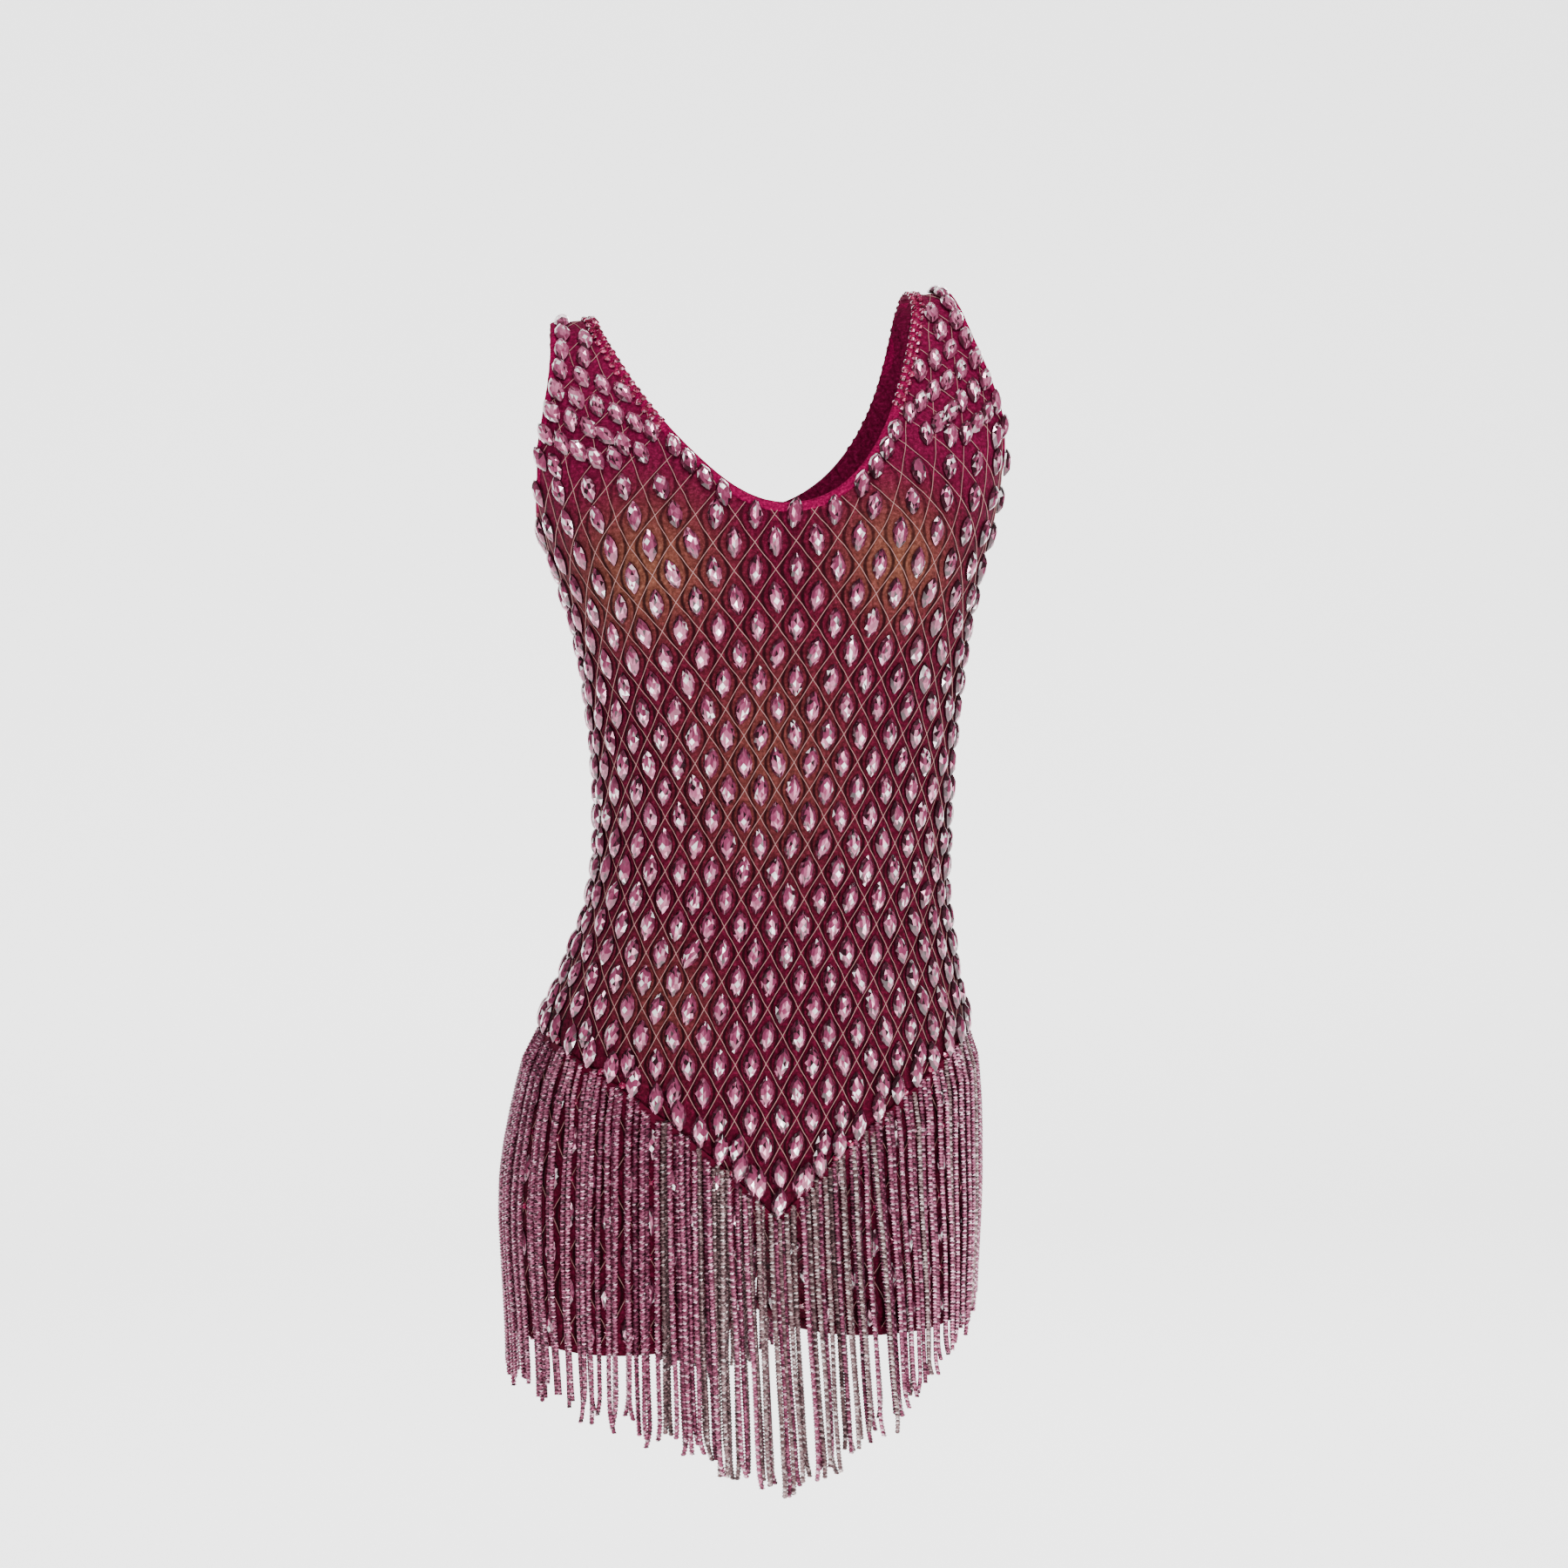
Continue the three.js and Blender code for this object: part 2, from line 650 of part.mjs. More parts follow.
// The leg's hem, from the inner leg round the front and back again.
function legBinding(hand) {
  const v = downTo(HEM);
  const half = (side) => {
    const inner = quarterPoint(side, v, "x", LEGS.binding).along;
    const outer = quarterLength(side, v);
    const places = [];
    for (let k = 0; k <= LEG_STEPS; k += 1) {
      const share = (1 - Math.cos((k / LEG_STEPS) * Math.PI)) / 2;
      places.push({ side, v, u: hand * (inner + share * (outer - inner)) });
    }
    return places;
  };
  const loop = [...half(FRONT), ...half(BACK).reverse().slice(1)];
  const points = loop.map((p) => clothPoint(p.side, p.u, p.v));
  const centre = new THREE.Vector3((hand * (LEGS.inner + section(v, "half"))) / 2, 0, HEM);
  const frames = points.map((point) => ({
    point,
    out: point.clone().sub(centre).normalize(),
    into: new THREE.Vector3(0, 0, 1),
  }));
  return band(frames, LEG_BINDING, BINDING.under, BINDING.over, true);
}

// How far the cloth of a section stands out from a root, along a level direction.
const OUT_STEPS = 24;
const OUT_LEAST = -20;
function outFrom(side, hand, root, flat, v) {
  const reach = quarterLength(side, v);
  let before = null;
  for (let k = 0; k <= OUT_STEPS; k += 1) {
    const p = posed(clothPoint(side, (hand * k * reach) / OUT_STEPS, v)).sub(root);
    const now = { off: flat.x * p.y - flat.y * p.x, out: flat.x * p.x + flat.y * p.y };
    if (before && before.off * now.off <= 0 && now.out > OUT_LEAST) {
      return before.out + ((now.out - before.out) * before.off) / (before.off - now.off);
    }
    before = now;
  }
  return before.out;
}

// The line in which a strand hangs: over the cloth to where that is widest, then straight down.
function strandLine(side, share, flat) {
  const start = yokeAt(side, share, TAPE.below + STRAND.root);
  const root = posed(cloth(side, start.u, start.v, (TAPE.under + TAPE.over) / 2));
  const swayBeat = Math.cos(root.x * STRAND_WAVES.swayBeat);
  const sway = STRAND.sway * Math.sin(root.x * STRAND_WAVES.sway) * swayBeat;
  const beat = Math.cos(root.x * STRAND_WAVES.lengthBeat);
  const uneven = STRAND.spread * Math.sin(root.x * STRAND_WAVES.length) * beat;
  const line = [root];
  let reached = 0;
  for (const fall of STRAND_FALLS) {
    const v = downTo(heightAt(start.v) - fall);
    const out = outFrom(side, Math.sign(share), root, flat, v) + STRAND.lift;
    if (out > reached + STRAND_BEND) {
      reached = out;
      line.push(root.clone().addScaledVector(flat, out).setZ(root.z - fall));
    }
  }
  const foot = line[line.length - 1].clone().setZ(root.z - strandLength(share, "length") - uneven);
  foot.x += sway;
  return [...line, foot];
}

// A strand of three sides through the points of its line.
function strand(line, flat) {
  const across = new THREE.Vector3(-flat.y, flat.x, 0);
  const positions = [];
  const triangles = [];
  for (const p of line) {
    const radius = (p === line[0] ? STRAND.tip : STRAND.width) / Math.sqrt(3);
    for (let e = 0; e < 3; e += 1) {
      const turn = (e * 2 * Math.PI) / 3;
      const side = across.clone().multiplyScalar(Math.sin(turn) * radius);
      positions.push(...p.clone().add(side).addScaledVector(flat, Math.cos(turn) * radius).toArray());
    }
  }
  for (let k = 0; k < line.length - 1; k += 1) {
    for (let e = 0; e < 3; e += 1) {
      const f = (e + 1) % 3;
      const a = k * 3;
      triangles.push(a + e, a + 3 + e, a + 3 + f, a + e, a + 3 + f, a + f);
    }
  }
  const end = (line.length - 1) * 3;
  triangles.push(0, 1, 2, end, end + 2, end + 1);
  const solid = solidFrom(positions, triangles);
  return solid.volume() > 0 ? solid : solidFrom(positions, triangles.reverse());
}

// A quarter of the fringe: its tape along the yoke line, with the strands fused into it.
function fringe(side, hand) {
  const places = [];
  for (let k = 0; k <= TAPE.steps; k += 1) {
    const share = hand * THREE.MathUtils.lerp(TAPE.from, TAPE.to, k / TAPE.steps);
    places.push({ side, ...yokeAt(side, share, TAPE.below) });
  }
  const turn = -side * hand;
  let whole = band(framesAlong(places, turn, false), TAPE.high, TAPE.under, TAPE.over, false);
  for (let k = 0; k < STRANDS; k += 1) {
    const share = (hand * (k + 0.5)) / STRANDS;
    const { u, v } = yokeAt(side, share, TAPE.below);
    const flat = turned(clothNormal(side, u, v), heightAt(v)).setZ(0).normalize();
    whole = whole.add(strand(strandLine(side, share, flat), flat));
  }
  return largest(whole);
}

const MATERIALS = {
  mesh: new THREE.MeshStandardMaterial({ color: 0x7c2947, roughness: 0.7, metalness: 0.05 }),
  binding: new THREE.MeshStandardMaterial({ color: 0xa01f52, roughness: 0.55, metalness: 0.05 }),
  fringe: new THREE.MeshStandardMaterial({ color: 0xb4708d, roughness: 0.3, metalness: 0.7 }),
};

const garment = new THREE.Group();
function addPiece(name, solid, material, place = posed) {
  const mesh = new THREE.Mesh(geometryOf(solid, place), MATERIALS[material]);
  mesh.name = name;
  garment.add(mesh);
}

const asMade = (p) => p;
for (const [side, face] of [[FRONT, "front"], [BACK, "back"]]) {
  addPiece(`body_${face}`, bodyPanel(side), "mesh");
  for (const [hand, which] of [[1, "left"], [-1, "right"]]) {
    addPiece(`leg_${face}_${which}`, legPanel(side, hand), "mesh");
    addPiece(`fringe_${face}_${which}`, fringe(side, hand), "fringe", asMade);
  }
}
addPiece("neck_binding", neckBinding(), "binding", asMade);
for (const [hand, which] of [[1, "left"], [-1, "right"]]) {
  addPiece(`arm_binding_${which}`, armBinding(hand), "binding", asMade);
  addPiece(`leg_binding_${which}`, legBinding(hand), "binding", asMade);
}

export default garment;
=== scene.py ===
"""The looks of the fringe stage jumpsuit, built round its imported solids.

Lengths in the tables are millimetres, as on the solids, and every mesh is made in metres.
The front faces -Y, the wearer's left is +X, and the origin lies midway between the shoulder seams.
"""

import json
import math

import bpy
import numpy as np
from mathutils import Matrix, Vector

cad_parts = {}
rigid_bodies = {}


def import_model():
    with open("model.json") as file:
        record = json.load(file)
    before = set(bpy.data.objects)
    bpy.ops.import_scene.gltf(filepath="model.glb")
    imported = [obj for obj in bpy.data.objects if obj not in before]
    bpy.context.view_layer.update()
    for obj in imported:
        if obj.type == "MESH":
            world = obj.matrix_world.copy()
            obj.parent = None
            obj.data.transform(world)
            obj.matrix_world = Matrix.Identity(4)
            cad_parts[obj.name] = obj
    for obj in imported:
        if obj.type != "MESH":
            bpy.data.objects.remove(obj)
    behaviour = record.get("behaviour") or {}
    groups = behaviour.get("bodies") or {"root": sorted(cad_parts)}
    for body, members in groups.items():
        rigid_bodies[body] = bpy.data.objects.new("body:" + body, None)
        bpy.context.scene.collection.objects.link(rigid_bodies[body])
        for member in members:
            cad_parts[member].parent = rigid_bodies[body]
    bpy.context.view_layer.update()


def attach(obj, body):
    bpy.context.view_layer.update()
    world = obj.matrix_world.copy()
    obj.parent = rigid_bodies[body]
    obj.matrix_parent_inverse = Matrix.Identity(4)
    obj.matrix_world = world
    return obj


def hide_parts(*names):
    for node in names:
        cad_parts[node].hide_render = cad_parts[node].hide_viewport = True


MM = 0.001
FRONT = -1
BACK = 1
SIDES = {"front": FRONT, "back": BACK}
HANDS = {"left": 1, "right": -1}
DICE = np.random.default_rng(7)


def table(names, *rows):
    """Rows with named columns."""
    return [dict(zip(names.split(), row)) for row in rows]


def unit(vectors):
    return vectors / np.maximum(np.linalg.norm(vectors, axis=-1, keepdims=True), 1e-9)


def run_along(*columns):
    """The length along a line at each of its points, from the columns of their coordinates."""
    steps = np.diff(np.stack(columns, axis=-1), axis=0)
    return np.concatenate([[0], np.cumsum(np.linalg.norm(steps, axis=-1))])


# The garment's outer face, as on the solids: sections, cups, legs and the pose in which it is worn.
SECTIONS = table(
    "z half front back square",
    (0, 158, 0, 0, 5),
    (-1.5, 158, 11, 11.5, 5),
    (-7, 157.5, 24, 26, 5),
    (-19, 157, 37, 40, 4.8),
    (-40, 156, 50, 52, 4.5),
    (-72, 153, 68, 64, 3.9),
    (-108, 149, 88, 75, 3.1),
    (-142, 142, 99, 82, 2.7),
    (-170, 133, 101, 84, 2.5),
    (-200, 125, 97, 83, 2.4),
    (-240, 118.5, 90, 79, 2.3),
    (-285, 113.5, 84, 75, 2.3),
    (-335, 111.5, 81, 74, 2.3),
    (-375, 113.5, 83, 80, 2.3),
    (-410, 122, 87, 90, 2.3),
    (-450, 133, 91, 102, 2.3),
    (-495, 142, 93, 112, 2.3),
    (-540, 147, 92, 114, 2.3),
    (-585, 147, 90, 106, 2.3),
    (-630, 143, 88, 95, 2.3),
    (-690, 134, 86, 88, 2.3),
)
CUPS = dict(x=76, z=-166, out=11, wide=40, high=42)
LEGS = dict(split_top=-562, split_end=-620, inner=6, drop=40, full=0.89)
HEM = -635
POSE = table(
    "z shift tilt turn",
    (0, 0, 0.12, 0),
    (-60, 6.5, 0.11, 0),
    (-120, 12.3, 0.092, 0),
    (-200, 15, 0.055, 0),
    (-280, 15.6, 0.018, 0),
    (-340, 14.5, 0, 0),
    (-390, 10.5, 0, 0.5),
    (-440, 4.8, 0, 2),
    (-500, 0, 0, 4),
    (-560, -4, 0, 5.5),
    (-620, -4.5, 0, 5.5),
    (-690, -4.5, 0, 5.5),
)

# Neckline and armhole edges, as on the solids.
NECK = {
    FRONT: table(
        "x z",
        (99, 0),
        (96, -17),
        (84, -50),
        (69, -81),
        (53, -106),
        (36, -125),
        (18, -136),
        (0, -139),
        (-18, -136),
    ),
    BACK: table(
        "x z",
        (99, 0),
        (97, -17),
        (88, -46),
        (74, -72),
        (56, -92),
        (37, -105),
        (18, -112),
        (0, -114),
        (-18, -112),
    ),
}
ARM_UPPER = table(
    "x z",
    (126, 0),
    (128, -20),
    (132, -42),
    (138, -66),
    (144.5, -90),
)
ARM_FOOT = table(
    "share z",
    (1, -90),
    (0.95, -99),
    (0.79, -109),
    (0.46, -117),
    (0, -120),
    (-0.46, -117),
)
NECK_BINDING = 6
ARM_BINDING = 4
LEG_BINDING = 6
YOKE = dict(side=-454, point=-557, power=2)

# The net of diamonds, as on the solids.
ROW_PITCH = 16.2
ROW_CLOSER = dict(by=13, over=5)
PITCH = table(
    "z across",
    (0, 14.5),
    (-50, 15.5),
    (-90, 17.8),
    (-128, 21.5),
    (-165, 24.5),
    (-215, 22.5),
    (-270, 20),
    (-330, 19),
    (-400, 18.5),
    (-480, 18.4),
    (-700, 18.4),
)
COLUMNS = 16
LEG_NET = 1.35
ROW_LEAN = dict(most=0.45, bend=50, start=60, end=230)

# What is laid on the cloth.
CLOTH = 0.9
THREAD = dict(radius=0.21, sides=4, over=0.25, steps=4)
STONE = dict(half_length=9.4, half_width=4.8, peak=4.3)
STONE_RINGS = table(
    "count size z turn",
    (12, 1.0, 0.1, 0),
    (12, 1.0, 1.2, 0),
    (12, 0.74, 3.0, 0.5),
    (6, 0.46, 4.0, 0),
)
STONE_TURN = dict(uneven=7, strap=-22, start=-170, end=-70, over=40)
STONE_LEAN = 4
RUBY_RADIUS = 2.3
RUBY_RINGS = table(
    "count size z turn",
    (8, 1.0, 0.1, 0),
    (8, 1.0, 0.7, 0),
    (8, 0.5, 1.9, 0.5),
)
TAPE = dict(below=0.8, high=6.0, under=0.35, over=1.3)

# The fringe: chain cords in three layers, hung from the tape. Lengths run from the wearer's right side
# seam, through the centre, to the left one, and so do the leans of the front: mm aside to a mm down.
STRANDS = 54
STRAND = dict(radius=1.8, waist=1.2, ring=0.95, sides=4, ragged=7, root_low=-1.5, root_high=4.0)
# A layer's tone is painted shade or light on its glints: darkest for the layer nearest the cloth, a little
# lighter for the outermost.
LAYERS = table(
    "lift sway end step first tone",
    (3.6, 2.6, 1.0, 2.1, 0, -0.08),
    (5.6, 3.4, 1.0, 2.1, 1, 0.04),
    (1.9, 1.6, 0.36, 1.8, 0.5, -0.20),
)
INWARD = dict(start=90, end=210, by=5.0)
WANDER = dict(own=1.3, wave=0.4, end=2.6, end_over=14)
STRAND_LENGTHS = table(
    "share length lean",
    (-1, 204, 0.07),
    (-0.6, 198, 0.01),
    (-0.3, 182, 0.02),
    (-0.12, 174, 0.04),
    (0, 162, 0.05),
    (0.12, 172, 0.07),
    (0.35, 178, 0.09),
    (0.65, 176, 0.04),
    (1, 180, -0.06),
)

# Where strands part and the legs show: the place across, its spread, how far they move each way,
# and the fall by which they have.
PARTINGS = table(
    "side x wide by fall",
    (FRONT, -113, 8, 3.4, 45),
    (FRONT, -92, 6, 2.2, 110),
    (FRONT, -25, 6, 2.6, 120),
    (FRONT, 62, 6, 2.0, 70),
    (FRONT, 118, 6, 2.2, 90),
    (BACK, -96, 8, 3.0, 60),
    (BACK, 18, 6, 2.6, 110),
    (BACK, 88, 7, 2.8, 50),
)

# The camera in metres and degrees, worked out from the stones' sizes at two depths.
CAMERA = dict(azimuth=-8.5, distance=1.05, height=-0.303, aside=0.022, view=51.0)

# Steps of the grid down the outer face and round its sections, and a length past any on the garment.
STEP_DOWN = 1.5
QUARTER_STEPS = 96
FAR = 1e3

# How far the cloth lies under the outer face, and the rows and columns of the panels' grids.
SUNK = 0.3
BODY_ROWS = dict(top=0.4, upper_step=2.6, turn=-146, lower_step=7.0, level=-420, yoke_rows=18, columns=34)
LEG_ROWS = dict(rows=26, columns=26, under_yoke=0.6, over_hem=0.2, least_out=0.15)

# The step of places along an edge.
EDGE_STEP = 3.0

# A binding's section: shares of its width, and heights over the cloth in shares of BINDING_HIGH.
BINDING_HIGH = 0.95
BINDING_PROFILE = [
    (0.0, -1.0), (0.02, 0.1), (0.15, 0.55), (0.5, 0.7), (0.85, 0.55), (0.98, 0.1), (1.0, -1.0),
]

# How near a stone's middle may come to each edge of the body panel, and its tips to the neckline.
STONE_MARGINS = dict(neck=5.5, arm=4.5, seam=1.0, yoke=7.0)
SHOULDER_MARGIN = {FRONT: 3.0, BACK: 7.0}
RUBY_BAND = dict(lowest=-94, neck=10.8)
# How near an edge a stone lies on the binding or over the fringe's roots, and how far that lifts it.
BY_EDGE = dict(binding=9, on_binding=0.7, yoke=10, over_roots=1.8)

# Heights between which the stones' painted glints move to their low ends, and between which painted light
# makes their tones paler towards the straps.
GLINT_LOW = dict(top=-125, foot=-205, least=0.05, more=0.9)
STRAP_PAINTED_LIGHT = dict(foot=-130, top=-50, by=0.16)

# Stones set along the edges: their steps, how far in they lie, and where the bare middle of the neckline
# and the tip of the yoke line end. On the straps more columns of them follow the armhole's.
ARM_STONES = dict(start=9, back_start=11, end=-98, step=15.0, inside=7.0, net_from=-95)
STRAP_COLUMNS = dict(count=7, across=13.6, end=-106)
NECK_STONES = dict(step=12.8, clear=0.4, bare=25, beside=17)
YOKE_STONES = dict(step=14.6, clear=-1.4, from_share=0.085, tip=9.5)
KEEP_OFF = dict(across=9.6, down=12.0, nearest=0.72, seam=9.5)

# Stones of the legs, flatter than the others, and the small round ones of the neckline and the yoke line.
LEG_STONES = dict(yoke_margin=12, hem_margin=LEG_BINDING + 8, out_margin=16)
LEG_STONE_SIZE = [0.95, 0.95, 0.72]
NECK_RUBIES = dict(start=3, end=118, pitch=6.6, near=1.9, far=6.2, lift=0.5)
YOKE_RUBIES = dict(pitch=24.0, uneven=0.35, aside=0.12, above=1.5, size=0.9, lift=1.2)

# How far down each strand's stand off the cloth is found, and how far behind its root cloth still counts.
FALLS = np.array([0, 7, 20, 35, 50, 70, 90, 115, 140])
BEHIND = 25

# Where the mesh is pulled thin and looks warmer: places on the front, with a spread and a strength.
THIN = table(
    "x z wide high share",
    (-72, -178, 34, 34, 0.75),
    (74, -170, 30, 32, 0.75),
    (0, -290, 40, 55, 0.40),
    (-60, -430, 26, 30, 0.30),
)

# Colours, each a list of stops.
WINE = [(0.30, (0.012, 0.0002, 0.002)), (0.50, (0.066, 0.0012, 0.012)), (0.72, (0.210, 0.008, 0.046))]
FRESH = [(0.30, (0.030, 0.0002, 0.006)), (0.50, (0.140, 0.0012, 0.032)), (0.72, (0.350, 0.010, 0.100))]
THIN_MESH = [(0.30, (0.050, 0.012, 0.008)), (0.50, (0.170, 0.060, 0.034)), (0.72, (0.380, 0.180, 0.105))]
# Painted shade: the near-black colour laid along the creases between the stones.
CREASE_SHADE = (0.008, 0.0003, 0.0015, 1)
MAGENTA = [(0.32, (0.040, 0.0002, 0.008)), (0.52, (0.190, 0.0008, 0.040)), (0.72, (0.420, 0.008, 0.110))]
# Stone stops: the plum end is painted shade and the white end the painted glint.
PINK_STONES = [(0.0, (0.010, 0.0006, 0.003)), (0.22, (0.065, 0.008, 0.022)), (0.50, (0.290, 0.046, 0.118)),
               (0.78, (0.680, 0.220, 0.370)), (0.96, (1.0, 0.960, 0.980))]
# Ruby stops: the whitest is a painted glint.
RED_STONES = [(0.0, (0.030, 0.0003, 0.006)), (0.5, (0.220, 0.002, 0.040)), (0.88, (0.500, 0.020, 0.120)),
              (1.0, (0.95, 0.400, 0.600))]
# Chain stops: the low end is painted shade and the top a painted highlight.
PINK_CHAIN = [(0.0, (0.016, 0.001, 0.005)), (0.40, (0.160, 0.026, 0.064)), (0.68, (0.430, 0.120, 0.220)),
              (0.92, (0.95, 0.620, 0.740))]
GREY_CHAIN = [(0.0, (0.018, 0.006, 0.008)), (0.40, (0.135, 0.072, 0.078)), (0.68, (0.350, 0.225, 0.230)),
              (0.92, (0.88, 0.760, 0.760))]

# Lamps, in metres and watts, and the point that they light.
LAMPS = table(
    "name place size power colour",
    ("key", (-0.15, -1.85, 0.5), 0.8, 24, (1.0, 0.98, 0.96)),
    ("fill", (0.8, -1.7, -0.2), 0.8, 12, (0.97, 0.98, 1.0)),
    ("window_left", (-1.5, -0.6, 0.6), 0.35, 0.5, (1.0, 1.0, 1.0)),
    ("window_right", (1.4, -0.9, 0.5), 0.3, 1.6, (1.0, 1.0, 1.0)),
    ("low", (0.1, -1.4, -1.1), 0.3, 5, (1.0, 0.98, 0.98)),
    ("top", (0.1, -0.6, 1.1), 0.4, 14, (1.0, 1.0, 1.0)),
    ("behind", (0.6, 1.4, 0.5), 0.8, 13, (1.0, 1.0, 1.0)),
)
LIT_POINT = Vector((0, 0, -0.35))
SENSOR = 36

# The backdrop's profile from its front edge to its top, in metres: y and z.
SWEEP = [(-3.5, -1.3), (1.4, -1.3), (2.0, -1.15), (2.3, -0.7), (2.35, 3.0)]
SWEEP_HALF = 4


def smooth(rows, key, column):
    """A smooth curve through one column of a table, read at values of its key column."""
    at = np.array([row[key] for row in rows], float)
    value = np.array([row[column] for row in rows], float)
    if at[-1] < at[0]:
        at, value = at[::-1], value[::-1]
    slope = np.gradient(value, at)
    slope[1:-1] = (value[2:] - value[:-2]) / (at[2:] - at[:-2])

    def read(x):
        x = np.asarray(x, float)
        i = np.clip(np.searchsorted(at, x, side="right") - 1, 0, len(at) - 2)
        span = at[i + 1] - at[i]
        t = (x - at[i]) / span
        low = (1 + 2 * t) * (1 - t) ** 2 * value[i] + t * (1 - t) ** 2 * span * slope[i]
        high = t * t * (3 - 2 * t) * value[i + 1] - t * t * (1 - t) * span * slope[i + 1]
        before = value[0] + slope[0] * (x - at[0])
        after = value[-1] + slope[-1] * (x - at[-1])
        return np.where(x < at[0], before, np.where(x > at[-1], after, low + high))

    return read


def smoothstep(a, b, x):
    t = np.clip((np.asarray(x, float) - a) / (b - a), 0, 1)
    return t * t * (3 - 2 * t)


def lengths_down():
    """Adds v to each section: the length down the cloth from the shoulder seam."""
    run = 0.0
    for above, row in zip([SECTIONS[0]] + SECTIONS, SECTIONS):
        out = (row["front"] + row["back"] - above["front"] - above["back"]) / 2
        run += math.hypot(out, row["z"] - above["z"])
        row["v"] = run
    return run


RUN = lengths_down()
height_at = smooth(SECTIONS, "v", "z")
half_at = smooth(SECTIONS, "v", "half")
square_at = smooth(SECTIONS, "v", "square")
DEPTH_AT = {FRONT: smooth(SECTIONS, "v", "front"), BACK: smooth(SECTIONS, "v", "back")}
shift_at = smooth(POSE, "z", "shift")
tilt_at = smooth(POSE, "z", "tilt")
turn_at = smooth(POSE, "z", "turn")
pitch_at = smooth(PITCH, "z", "across")
LAST_DOWN = RUN - 2
DOWN = np.arange(0, RUN, STEP_DOWN)
HEIGHTS = height_at(DOWN)


def down_to(z):
    """The length down the cloth at which a height is reached."""
    return np.interp(-np.asarray(z, float), -HEIGHTS, DOWN)


def posed(x, y, z):
    """Places moved, tilted and turned into the pose, by their height."""
    turn = np.radians(turn_at(z))
    x, y = x * np.cos(turn) - y * np.sin(turn), x * np.sin(turn) + y * np.cos(turn)
    return np.stack([x + shift_at(z), y, z + tilt_at(z) * x], axis=-1)


class Form:
    """The front or the back of the garment's smooth outer face, as a grid: lengths down by shares round."""

    shares = np.linspace(-1, 1, 241)
    middle = len(shares) // 2

    def __init__(self, side):
        self.side = side
        size = (len(DOWN), len(self.shares))
        self.x, self.out = np.zeros(size), np.zeros(size)
        self.reaches = np.zeros(len(DOWN))
        turn = np.linspace(0, math.pi / 2, QUARTER_STEPS + 1)
        for i, v in enumerate(DOWN):
            power = 2 / square_at(v)
            x = half_at(v) * np.sin(turn) ** power
            out = DEPTH_AT[side](v) * np.maximum(np.cos(turn), 0) ** power
            along = run_along(x, out)
            self.reaches[i] = along[-1]
            wanted = np.abs(self.shares) * along[-1]
            self.x[i] = np.interp(wanted, along, x)
            self.out[i] = np.interp(wanted, along, out)
        self.shape_cups_and_legs()
        z = np.broadcast_to(HEIGHTS[:, None], size)
        self.points = posed(self.x * np.sign(self.shares), side * self.out, z)
        self.along = np.gradient(self.points, axis=0)
        self.normals = unit(np.cross(np.gradient(self.points, axis=1), self.along) * side)

    def shape_cups_and_legs(self):
        z = HEIGHTS[:, None]
        if self.side == FRONT:
            off = ((self.x - CUPS["x"]) / CUPS["wide"]) ** 2 + ((z - CUPS["z"]) / CUPS["high"]) ** 2
            self.out += CUPS["out"] * np.exp(-off)
        half, depth = half_at(DOWN)[:, None], DEPTH_AT[self.side](DOWN)[:, None]
        centre = (half + LEGS["inner"]) / 2
        off = np.clip(np.abs(self.x - centre) / (half - centre), 0, 1)
        leg = LEGS["full"] * depth * np.sqrt(1 - off**2.2)
        leg = np.where(self.x < LEGS["inner"], -LEGS["drop"] * (1 - self.x / LEGS["inner"]), leg)
        share = smoothstep(-LEGS["split_top"], -LEGS["split_end"], -z)
        self.out += share * (leg - self.out)

    def read(self, grid, u, v):
        """A grid's values at lengths round and down, between its four nearest points."""
        u, v = np.broadcast_arrays(np.asarray(u, float), np.asarray(v, float))
        i = np.clip(v / STEP_DOWN, 0, len(DOWN) - 1.001)
        share = np.clip(u / self.reach(v), -1, 1)
        j = np.clip((share + 1) / 2 * (len(self.shares) - 1), 0, len(self.shares) - 1.001)
        i0, j0 = i.astype(int), j.astype(int)
        a, b = i - i0, j - j0
        if grid.ndim == 3:
            a, b = a[..., None], b[..., None]
        top = grid[i0, j0] * (1 - b) + grid[i0, j0 + 1] * b
        foot = grid[i0 + 1, j0] * (1 - b) + grid[i0 + 1, j0 + 1] * b
        return top * (1 - a) + foot * a

    def reach(self, v):
        """The length round from the centre line to the side seam."""
        return np.interp(v, DOWN, self.reaches)

    def cloth(self, u, v, lift=0.0):
        """Points on the cloth, or lifted off it."""
        lift = np.asarray(lift, float)
        return self.read(self.points, u, v) + self.normal(u, v) * (lift[..., None] if lift.ndim else lift)

    def normal(self, u, v):
        return unit(self.read(self.normals, u, v))

    def frame(self, u, v):
        """Unit vectors across, down and out of the cloth."""
        out = self.normal(u, v)
        down = self.read(self.along, u, v)
        down = unit(down - out * np.sum(down * out, axis=-1, keepdims=True))
        return np.cross(down, out), down, out

    def half_row(self, v):
        """The wearer's left half of x, of out and of the shares at a length down."""
        i = min(int(v / STEP_DOWN), len(DOWN) - 1)
        return self.x[i, self.middle:], self.out[i, self.middle:], self.shares[self.middle:]

    def round_to(self, v, column, value):
        """The length round, on the wearer's left, at which x or out has a value."""
        x, out, shares = self.half_row(v)
        share = np.interp(value, x, shares) if column == "x" else np.interp(-value, -out, shares)
        return float(share * self.reach(v))


FORMS = {side: Form(side) for side in (FRONT, BACK)}


def yoke_down(share):
    height = YOKE["side"] + (YOKE["point"] - YOKE["side"]) * (1 - np.abs(share)) ** YOKE["power"]
    return down_to(height)


arm_x = smooth(ARM_UPPER, "z", "x")


